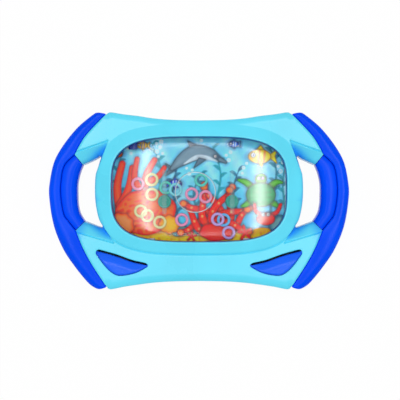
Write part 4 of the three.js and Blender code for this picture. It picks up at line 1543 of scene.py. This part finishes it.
def star(x, y, middle, radius, turn=0.0, arms=5):
    """Star whose edge is a cosine of the direction."""
    angle = np.arctan2(y - middle[1], x - middle[0]) - turn
    return np.hypot(x - middle[0], y - middle[1]) - radius * (0.62 + 0.38 * np.cos(arms * angle))


class Canvas:
    """Colours of many points, painted over shape by shape."""

    def __init__(self, x, y, colour):
        self.x, self.y = x, y
        self.colour = np.tile(np.array(linear(colour)), (len(x), 1))

    def lay(self, distance, code, share=1.0, soft=0.3):
        """Colour laid over the inside of a shape by a share, with a soft edge."""
        cover = (np.clip(0.5 - distance / (2 * soft), 0, 1) * share)[:, None]
        self.colour = self.colour * (1 - cover) + np.array(linear(code)) * cover

    def shape(self, distance, fill, line, light=None, width=INK_WIDTH):
        """Shape with a soft shadow round it, a dark outline and a lighter middle."""
        self.lay(distance - width - SHADOW_REACH, "0C3A55", SHADOW_SHARE, SHADOW_SOFTNESS)
        self.lay(distance - width, line)
        self.lay(distance, fill)
        if light:
            self.lay(distance + LIGHT_INSET, light, LIGHT_SHARE, LIGHT_SOFTNESS)

    def blob(self, middle, size, fill, line, light=None, turn=0.0, lobes=0, wave=0.0):
        """Outlined ellipse with a wavy edge."""
        self.shape(blob(self.x, self.y, middle, size, turn, lobes, wave), fill, line, light)

    def stroke(self, path, start, end, fill, line, light=None, bulge=0.0):
        """Outlined brush stroke."""
        self.shape(stroke(self.x, self.y, path, start, end, bulge), fill, line, light)

    def eye(self, middle, radius):
        """White eye with a dark pupil and a glint."""
        self.blob(middle, (radius, radius), "FFFFFF", "20303A")
        pupil = (middle[0] + 0.15 * radius, middle[1])
        glint = (middle[0] - 0.1 * radius, middle[1] + 0.3 * radius)
        self.lay(blob(self.x, self.y, pupil, (radius * 0.55, radius * 0.6)), "101820")
        self.lay(blob(self.x, self.y, glint, (radius * 0.2, radius * 0.2)), "FFFFFF")


def paint_water(sea):
    """Lighter water above and darker below, slanting beams of light, and water plants with leaves."""
    x, y = sea.x, sea.y
    sea.lay(-10 * (0.2 + (y - 8) / 90) + 4 * ripple(x, y, 14), "A6E4F7", 0.9, 8)
    sea.lay(10 * (0.9 + (y + 4) / 26) + 3 * ripple(x, y, 9, 2), "3AA6C4", 0.8, 8)
    for shift in (-60, -34, -2, 22, 51):
        beam = np.abs(x - shift + 0.45 * (y - 50)) - 2.4 - 0.035 * (50 - y)
        sea.lay(beam + 1.2 * ripple(x, y, 16, shift), "D8F6FF", 0.4, 2.6)
    for shift, top, lean, code in (
        (-66, 44, 4, "12808F"), (-31, 47, -5, "1E9AA2"), (-21, 30, 3, "0A6A84"), (-4, 22, 4, "12808F"),
        (17, 45, -4, "1E9AA2"), (28, 26, 3, "0A6A84"), (62, 48, -4, "12808F"), (68, 34, 2, "1E9AA2"),
    ):
        steps = np.linspace(0, 1, 7)
        sway = shift + lean * np.sin(steps * 7) * 0.8 + lean * steps
        path = np.column_stack([sway, PLANT_FOOT + (top - PLANT_FOOT) * steps])
        sea.lay(stroke(x, y, path, 1.5, 0.4), code, 0.85, 0.5)
        for share, side in zip(np.linspace(0.3, 0.97, LEAVES), (1, -1) * LEAVES):
            at = np.array([np.interp(share, steps, path[:, k]) for k in (0, 1)])
            tip = at + (side * 5.4, 3.6)
            sea.lay(stroke(x, y, [at, (at + tip) / 2 + (0, 1.2), tip], 0.5, 0.15, 1.0), code, 0.8, 0.4)


def paint_bed(sea):
    """Sand with a wavy edge, lighter and darker grains, and three rocks."""
    x, y = sea.x, sea.y
    level = -21.5 + 2.2 * np.sin(x / 9) + 1.3 * np.sin(x / 3.7 + 1)
    sea.shape(y - level, "F0BE4A", "B47A28", None, 0.4)
    sea.lay(y - level + 4.5 + ripple(x, y, 3), "F8D978", 0.8, 1.2)
    sea.lay(1 - ripple(x, y, 1.3, 3) * 2 + np.clip(y - level + 1, 0, 9), "C98A34", 0.6, 0.5)
    for place, size, code in (
        ((2, -21), (8, 5), "6FA3A8"), ((66, -20), (9, 8), "5B8FA0"), ((-16, -24), (6, 4), "86B4AC"),
    ):
        sea.blob(place, size, code, "2F5E6C", "A9D0CC", 0.2, 5, 0.06)


def paint_coral(sea):
    """Branched coral, a dome of it with winding furrows, and two smaller lumps."""
    x, y = sea.x, sea.y
    for path, start, end in (
        ([(-62, -32), (-64, -8), (-66, 12), (-62, 30)], 4.0, 2.2),
        ([(-64, -4), (-57, 10), (-54, 27)], 3.0, 1.9),
        ([(-60, -22), (-46, 4), (-42, 22), (-36, 33)], 4.2, 2.0),
        ([(-45, 6), (-52, 18), (-50, 34)], 2.6, 1.6),
        ([(-43, 14), (-33, 20), (-28, 27)], 2.6, 1.6),
    ):
        sea.stroke(path, start, end, "EE5A2C", "A32A16", "FF8F5C")
    dome = blob(x, y, (-43, -9), (24, 18), 0.1, 7, 0.02)
    sea.shape(dome, "F0622F", "A32A16", "FF8A55")
    maze = np.sin((x + 5 * ripple(x, y, 6)) / 1.25) * np.sin((y + 5 * ripple(x, y, 7, 2)) / 1.5)
    sea.lay(0.9 * (np.abs(maze) - 0.35) - 0.1 + np.clip(dome + 1.5, 0, 9), "FFA774", 0.55, 0.5)
    sea.lay(0.35 - maze * 2.2 + np.clip(dome + 1, 0, 9), "C93D1E", 0.65, 0.5)
    sea.blob((-63, -20), (10, 10), "F47C50", "A32A16", "FFB48C", 0.3, 9, 0.05)
    sea.blob((-24, -19), (8, 7), "F5A23C", "A3581A", "FFD07A", -0.2, 8, 0.06)


def paint_anemone(sea):
    """Anemone: ten curling arms with spots and round tips, spread from one root."""
    root = np.array([14.0, -24.0])
    for angle, length, curl in (
        (2.95, 28, -7), (2.62, 32, 6), (2.28, 34, -6), (1.98, 38, 6), (1.68, 36, -6),
        (1.38, 37, 6), (1.08, 34, -6), (0.78, 32, 6), (0.44, 30, -5), (0.16, 26, 5),
    ):
        ahead = np.array([np.cos(angle), np.sin(angle)])
        aside = np.array([-ahead[1], ahead[0]])
        share = np.linspace(0, 1, 6)
        path = root + ahead * (share * length)[:, None] + aside * (curl * np.sin(share * 4.6))[:, None]
        sea.stroke(path, 3.5, 1.5, "E4452A", "8F1F16", "FF7A4E")
        for place in path[2:5]:
            sea.lay(blob(sea.x, sea.y, place, (0.9, 0.9)), "FFC49A", 0.9)
        sea.blob(path[-1], (2.5, 2.3), "FF8A4A", "8F1F16", "FFC58A")
    sea.blob((14, -25), (13, 7), "D93A26", "8F1F16", "F2683E", 0, 6, 0.04)


def paint_fish(sea, middle, size, way, colours):
    """Fish: tail and fins of straight sides, an oval body with bands, and an eye; way is 1 facing right."""
    x0, y0 = middle
    fill, line, light, band = colours

    def at(u, v):
        return x0 + way * u * size, y0 + v * size

    for corners in (
        [at(-0.8, 0), at(-1.6, 0.62), at(-1.42, 0), at(-1.6, -0.62)],
        [at(-0.55, 0.4), at(-0.1, 1.02), at(0.45, 0.45)],
        [at(-0.45, -0.4), at(-0.2, -0.98), at(0.3, -0.45)],
    ):
        sea.shape(polygon(sea.x, sea.y, corners), light, line)
    body = blob(sea.x, sea.y, middle, (size, size * 0.62))
    sea.shape(body, fill, line, light)
    for place in (-0.45, 0.05):
        strip = np.abs(sea.x - at(place, 0)[0] - 0.12 * (sea.y - y0)) - size * 0.1
        sea.lay(np.maximum(strip, body), band, 0.9)
    sea.eye(at(0.6, 0.14), size * 0.17)


def paint_dolphin(sea):
    """Dolphin: tail and fins of straight sides, a body as one thick stroke, a pale belly and a beak."""
    x, y = sea.x, sea.y
    for corners in (
        [(-21, 27), (-27, 30), (-24, 26), (-27, 20.5), (-20, 24.5)],
        [(-6, 42), (-9, 48.5), (0, 44)],
    ):
        sea.shape(polygon(x, y, corners), "6F8794", "2B3E4A", None)
    spine = [(-22, 26), (-14, 33), (-3, 39), (9, 38), (17, 33.5)]
    sea.stroke(spine, 1.2, 1.3, "78909C", "2B3E4A", "9AB0BA", 4.6)
    sea.lay(stroke(x, y, [(-12, 30), (-2, 35.2), (8, 34.6), (15, 32)], 0.4, 0.4, 1.5), "DCE8EC", 0.95, 0.5)
    sea.stroke([(17, 33.6), (21.5, 31.4)], 1.5, 0.8, "78909C", "2B3E4A", "9AB0BA")
    sea.shape(polygon(x, y, [(0, 34.6), (-4, 27), (5, 33.4)]), "6F8794", "2B3E4A")
    sea.eye((13.2, 36.1), 1.0)


def paint_turtle(sea):
    """Turtle seen from above: four flippers, a head, and a shell with a pattern of cells."""
    x, y = sea.x, sea.y
    for path, wide in (
        ([(44, 10), (38, 15), (32, 17)], 2.0), ([(56, 10), (62, 15), (67, 15)], 2.0),
        ([(43, 1), (38, -3), (35, -4)], 1.6), ([(57, 0), (62, -3), (64, -5)], 1.6),
    ):
        sea.stroke(path, wide, 0.8, "5FAE4C", "1F5A34", "9AD46E", 0.8)
    sea.blob((50, 17.5), (4.2, 4.4), "6DBB55", "1F5A34", "A6DC7A")
    shell = blob(x, y, (50, 5), (11.5, 9.5))
    sea.shape(shell, "2F9A6A", "174A34", "56BE86")
    cells = np.cos(x * 0.95 + 0.4) * np.cos((y - 5) * 0.8)
    sea.lay(np.abs(cells) * 4 - 0.5 + np.clip(shell + 1.6, 0, 9), "1C6E4C", 0.8, 0.5)
    sea.eye((51.6, 18.4), 0.95)
    sea.eye((48.4, 18.4), 0.95)


def paint_small(sea):
    """Two starfish, a crab, five fish and rising bubbles."""
    x, y = sea.x, sea.y
    sea.shape(star(x, y, (37, -25.5), 6.2, 0.5), "D8262E", "7A1018", "F2585A")
    sea.shape(star(x, y, (-6, -28.5), 4.2, 0.2), "C8322E", "7A1018", "F2685A")
    sea.stroke([(57, -12), (63, -9), (66, -3)], 1.7, 1.0, "E03A2C", "7A1018", "FF7A5A")
    sea.stroke([(51, -12), (46, -8), (45, -3)], 1.7, 1.0, "E03A2C", "7A1018", "FF7A5A")
    sea.blob((54, -14.5), (7, 4.8), "E03A2C", "7A1018", "FF7A5A")
    sea.eye((52, -11), 1.1)
    sea.eye((56, -11), 1.1)
    paint_fish(sea, (49, 36), 8.6, -1, ("F4D420", "8A6A10", "FBE96A", "E89A1E"))
    paint_fish(sea, (-19, 14), 4.6, 1, ("1E56C8", "0E2A66", "5A96F0", "E8F2FF"))
    paint_fish(sea, (-66, 38), 3.6, 1, ("F0862C", "8A3A10", "FFC46A", "FFFFFF"))
    paint_fish(sea, (28, 46), 3.4, -1, ("2A8AD8", "0E3A76", "8AC8F8", "E8F2FF"))
    paint_fish(sea, (-46, 45), 3.8, -1, ("F2C830", "8A6A10", "FBE98A", "3A6AD0"))
    for u, v, size in (
        (-34, 40, 1.5), (-31.5, 43.5, 1.1), (-34.5, 46.5, 0.9), (-30.5, 48, 1.3), (-33, 36, 0.9),
        (-29.5, 38.5, 0.8), (24, 33, 1.3), (22, 37, 0.9), (25.5, 39.5, 1.1), (36, 27, 1.2),
        (38.5, 30.5, 0.9), (35, 22.5, 0.8), (-8, 22, 1.2), (-5.5, 25, 0.9), (-10, 26.5, 0.8),
        (66, 24, 1.4), (64, 28, 0.9), (67.5, 31, 1.0), (2, 49, 1.0), (-57, 43, 1.1),
        (-59, 47, 1.4), (-55, 38.5, 0.9), (60, 43, 1.0), (58, 47, 1.3),
    ):
        air = blob(x, y, (u, v), (size, size))
        sea.lay(air, "D6F5FF", 0.75)
        sea.lay(np.abs(air) - 0.18, "FFFFFF", 0.95, 0.2)


def sea_colours(x, y):
    """Scene-linear colours of the printed card at places in millimetres.

    Outside the window it is blue. Paper grain, stronger colours and more contrast are laid over the whole.
    """
    sea = Canvas(x, y, "5FC0E0")
    for paint in (
        paint_water, paint_bed, paint_coral, paint_anemone, paint_dolphin, paint_turtle, paint_small,
    ):
        paint(sea)
    grow = window_grow(np.column_stack([x, y]) * MM) / MM
    sea.lay(0.1 - grow, "12349A", 1.0, 0.25)
    grain = 1 + PAPER_GRAIN * ripple(x, y, 2.2, 5)
    grey = sea.colour.mean(axis=1, keepdims=True)
    vivid = grey + (sea.colour - grey) * PRINT_STRENGTH
    return np.clip(vivid * grain[:, None] * PRINT_BRIGHTNESS, 0, 1) ** PRINT_CONTRAST


def card_plan(columns, rows):
    """Grid over a square, drawn in towards its middle until its edge is the window's superellipse."""
    u, v = np.meshgrid(np.linspace(-1, 1, columns), np.linspace(-1, 1, rows))
    size = np.maximum(np.abs(u), np.abs(v))
    norm = (np.abs(u) ** WINDOW_POWER + np.abs(v) ** WINDOW_POWER) ** (1 / WINDOW_POWER)
    pull = size / np.maximum(norm, LEAST_NORM)
    return np.column_stack([(u * pull).ravel(), (v * pull).ravel()])


def card_mesh(columns, rows, low, high):
    """Printed top as a grid, a skirt round it and a fan underneath; gives vertices and faces."""
    half, middle = np.array(high - low)[:2] / 2, np.array(high + low)[:2] / 2
    plan = card_plan(columns, rows) * half + middle
    order = np.arange(rows * columns).reshape(rows, columns)
    ring = np.concatenate([order[0, :-1], order[:-1, -1], order[-1, :0:-1], order[:0:-1, 0]])
    total, around = len(plan), len(ring)
    place = np.arange(around)
    ahead = (place + 1) % around
    skirt = np.column_stack([ring, total + place, total + ahead, ring[ahead]])
    fan = np.column_stack([np.full(around, total + around), total + ahead, total + place])
    vertices = np.vstack([lift(plan, high.z), lift(plan[ring], low.z), lift(middle[None], low.z)])
    return vertices, grid_faces(rows, columns, False).tolist() + skirt.tolist() + fan.tolist()


class RINGTOSS_OT_print(bpy.types.Operator):
    """Printed card behind the tank: a fine grid in the window's shape, with the picture as vertex colours"""

    bl_idname = "ringtoss.print"
    bl_label = "Printed card"

    def execute(self, context):
        settings = context.scene.ringtoss_print
        vertices, faces = card_mesh(settings.columns, settings.rows, *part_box("backdrop_print"))
        piece = new_piece("printed_card", vertices, faces, False)
        x, y = vertices[:, 0] / MM, vertices[:, 1] / MM
        colours = np.column_stack([sea_colours(x, y), np.ones(len(x))])
        picture = piece.data.color_attributes.new("picture", "FLOAT_COLOR", "POINT")
        picture.data.foreach_set("color", colours.ravel())
        dress(piece, printed("Printed card"), "case", "printed_card", "backdrop_print")
        return {"FINISHED"}


# Stage.

FLOOR_LEVEL = -0.2 * MM
FLOOR_HALF = 3.0
# Share of the floor's own glow in what is seen of it, which keeps it pale.
FLOOR_GLOW = 0.96
# Narrow lamps that streak the window, and soft lamps over the long edges: place, size and power or its share.
STRIPS = (
    ("left_strip", (-0.223, 0.02, 1.02), (0.014, 0.26), 1.3),
    ("right_strip", (0.256, 0.02, 1.02), (0.038, 0.26), 2.0),
)
SOFT_LAMPS = (
    ("key", (-0.05, 0.35, 1.5), (0.6, 0.4), 0.65),
    ("fill", (0.05, -0.33, 1.5), (0.6, 0.4), 0.35),
)
# The photograph is centred a little off the game's middle.
CAMERA_PLACE = (0.8 * MM, 0.8 * MM)
SENSOR_WIDTH = 36
# A ray that passes the window, the bubble and the tank on its way down and up meets many clear surfaces.
CLEAR_SURFACES = 32


def seen(nodes, links):
    """1 for rays from the camera, from a mirror or through clear plastic, and 0 for scattered light."""
    path = add_node(nodes, "ShaderNodeLightPath").outputs
    direct = combined(nodes, links, "MAXIMUM", path["Is Camera Ray"], path["Is Glossy Ray"])
    return combined(nodes, links, "MAXIMUM", direct, path["Is Transmission Ray"])


def pale_ground(nodes, links, shader):
    """Matt floor that glows evenly where it is seen, and is clear from below."""
    glow = add_node(nodes, "ShaderNodeEmission", Strength=1.0)
    share = add_node(nodes, "ShaderNodeMath", operation="MULTIPLY")
    share.inputs[1].default_value = FLOOR_GLOW
    links.new(seen(nodes, links), share.inputs[0])
    above = shader_mix(nodes, links, share.outputs[0], shader.outputs[0], glow.outputs[0])
    facing = add_node(nodes, "ShaderNodeNewGeometry")
    clear = add_node(nodes, "ShaderNodeBsdfTransparent")
    surface(nodes, links, shader_mix(nodes, links, facing.outputs["Backfacing"], above, clear.outputs[0]))
    shader.inputs["Base Color"].default_value = (0.93, 0.93, 0.93, 1)
    shader.inputs["Roughness"].default_value = 0.9


def studio_world(strength):
    """White world that lights with the given strength and is plain white where it is seen."""
    world = bpy.data.worlds.new("Studio")
    world.use_nodes = True
    nodes, links = world.node_tree.nodes, world.node_tree.links
    sky = nodes["Background"]
    sky.inputs["Color"].default_value = (1, 1, 1, 1)
    links.new(value_range(nodes, links, seen(nodes, links), strength, 1.0, 0.0, 1.0), sky.inputs["Strength"])
    return world


def soft_lamp(name, place, size, power, aim=(0, 0, 0)):
    """Rectangular lamp at a place, turned towards another."""
    light = bpy.data.lights.new(name, "AREA")
    light.shape = "RECTANGLE"
    light.size, light.size_y = size
    light.energy = power
    lamp = bpy.data.objects.new(name, light)
    bpy.context.scene.collection.objects.link(lamp)
    lamp.location = place
    lamp.rotation_euler = (Vector(aim) - Vector(place)).to_track_quat("-Z", "Y").to_euler()
    return lamp


def overhead_camera(height, lens):
    """Camera that looks straight down, as the photograph does."""
    camera = bpy.data.objects.new("camera", bpy.data.cameras.new("camera"))
    bpy.context.scene.collection.objects.link(camera)
    camera.location = (*CAMERA_PLACE, height)
    camera.data.lens = lens
    camera.data.sensor_width = SENSOR_WIDTH
    return camera


class RINGTOSS_OT_stage(bpy.types.Operator):
    """Pale floor, even world light, two strips that streak the window, two soft lamps and the camera"""

    bl_idname = "ringtoss.stage"
    bl_label = "Stage"

    def execute(self, context):
        settings = context.scene.ringtoss_stage
        scene = context.scene
        signs = ((-1, -1), (1, -1), (1, 1), (-1, 1))
        corners = [(x * FLOOR_HALF, y * FLOOR_HALF, FLOOR_LEVEL) for x, y in signs]
        floor = new_piece("floor", corners, [(0, 1, 2, 3)], False)
        floor.data.materials.append(material_of("Floor", pale_ground))
        scene.world = studio_world(settings.world)
        for name, place, size, power in STRIPS:
            strip = soft_lamp(name, place, size, power, (*place[:2], 0))
            strip.visible_diffuse = False
        for name, place, size, share in SOFT_LAMPS:
            soft_lamp(name, place, size, settings.key * share)
        scene.camera = overhead_camera(settings.camera_height, settings.lens)
        scene.view_settings.view_transform = "Standard"
        scene.cycles.transparent_max_bounces = CLEAR_SURFACES
        return {"FINISHED"}


# Panel and registration.


class RINGTOSS_PT_panel(bpy.types.Panel):
    """Lists the pieces in the order in which they are built"""

    bl_idname = "RINGTOSS_PT_panel"
    bl_label = "Ring toss"
    bl_space_type = "VIEW_3D"
    bl_region_type = "UI"
    bl_category = "Ring toss"

    def draw(self, context):
        for key, operators in STEPS:
            box = self.layout.box()
            settings = getattr(context.scene, key)
            for name in settings.__annotations__:
                box.prop(settings, name)
            for operator in operators:
                box.operator(operator.bl_idname)


STEPS = (
    ("ringtoss_case", (RINGTOSS_OT_case,)),
    ("ringtoss_grip", (RINGTOSS_OT_grips, RINGTOSS_OT_buttons, RINGTOSS_OT_pumps)),
    ("ringtoss_print", (RINGTOSS_OT_print,)),
    ("ringtoss_rings", (RINGTOSS_OT_pegs, RINGTOSS_OT_rings)),
    ("ringtoss_window", (RINGTOSS_OT_window, RINGTOSS_OT_bubble)),
    ("ringtoss_stage", (RINGTOSS_OT_stage,)),
)
SETTINGS = {
    "ringtoss_case": RINGTOSS_CaseSettings,
    "ringtoss_grip": RINGTOSS_GripSettings,
    "ringtoss_print": RINGTOSS_PrintSettings,
    "ringtoss_rings": RINGTOSS_RingSettings,
    "ringtoss_window": RINGTOSS_WindowSettings,
    "ringtoss_stage": RINGTOSS_StageSettings,
}
OPERATORS = [operator for _, operators in STEPS for operator in operators]
CLASSES = [*SETTINGS.values(), *OPERATORS, RINGTOSS_PT_panel]


def register():
    """Makes the classes known to Blender and hangs the settings on the scene."""
    for kind in CLASSES:
        bpy.utils.register_class(kind)
    for key, kind in SETTINGS.items():
        setattr(bpy.types.Scene, key, PointerProperty(type=kind))


def unregister():
    """Takes away what register has added, in reverse."""
    for key in SETTINGS:
        delattr(bpy.types.Scene, key)
    for kind in reversed(CLASSES):
        bpy.utils.unregister_class(kind)


def main():
    """Builds every piece and the stage."""
    register()
    bpy.ops.ringtoss.case()
    bpy.ops.ringtoss.grips()
    bpy.ops.ringtoss.buttons()
    bpy.ops.ringtoss.pumps()
    bpy.ops.ringtoss.print()
    bpy.ops.ringtoss.pegs()
    bpy.ops.ringtoss.rings()
    bpy.ops.ringtoss.window()
    bpy.ops.ringtoss.bubble()
    bpy.ops.ringtoss.stage()


if __name__ == "__main__":
    main()
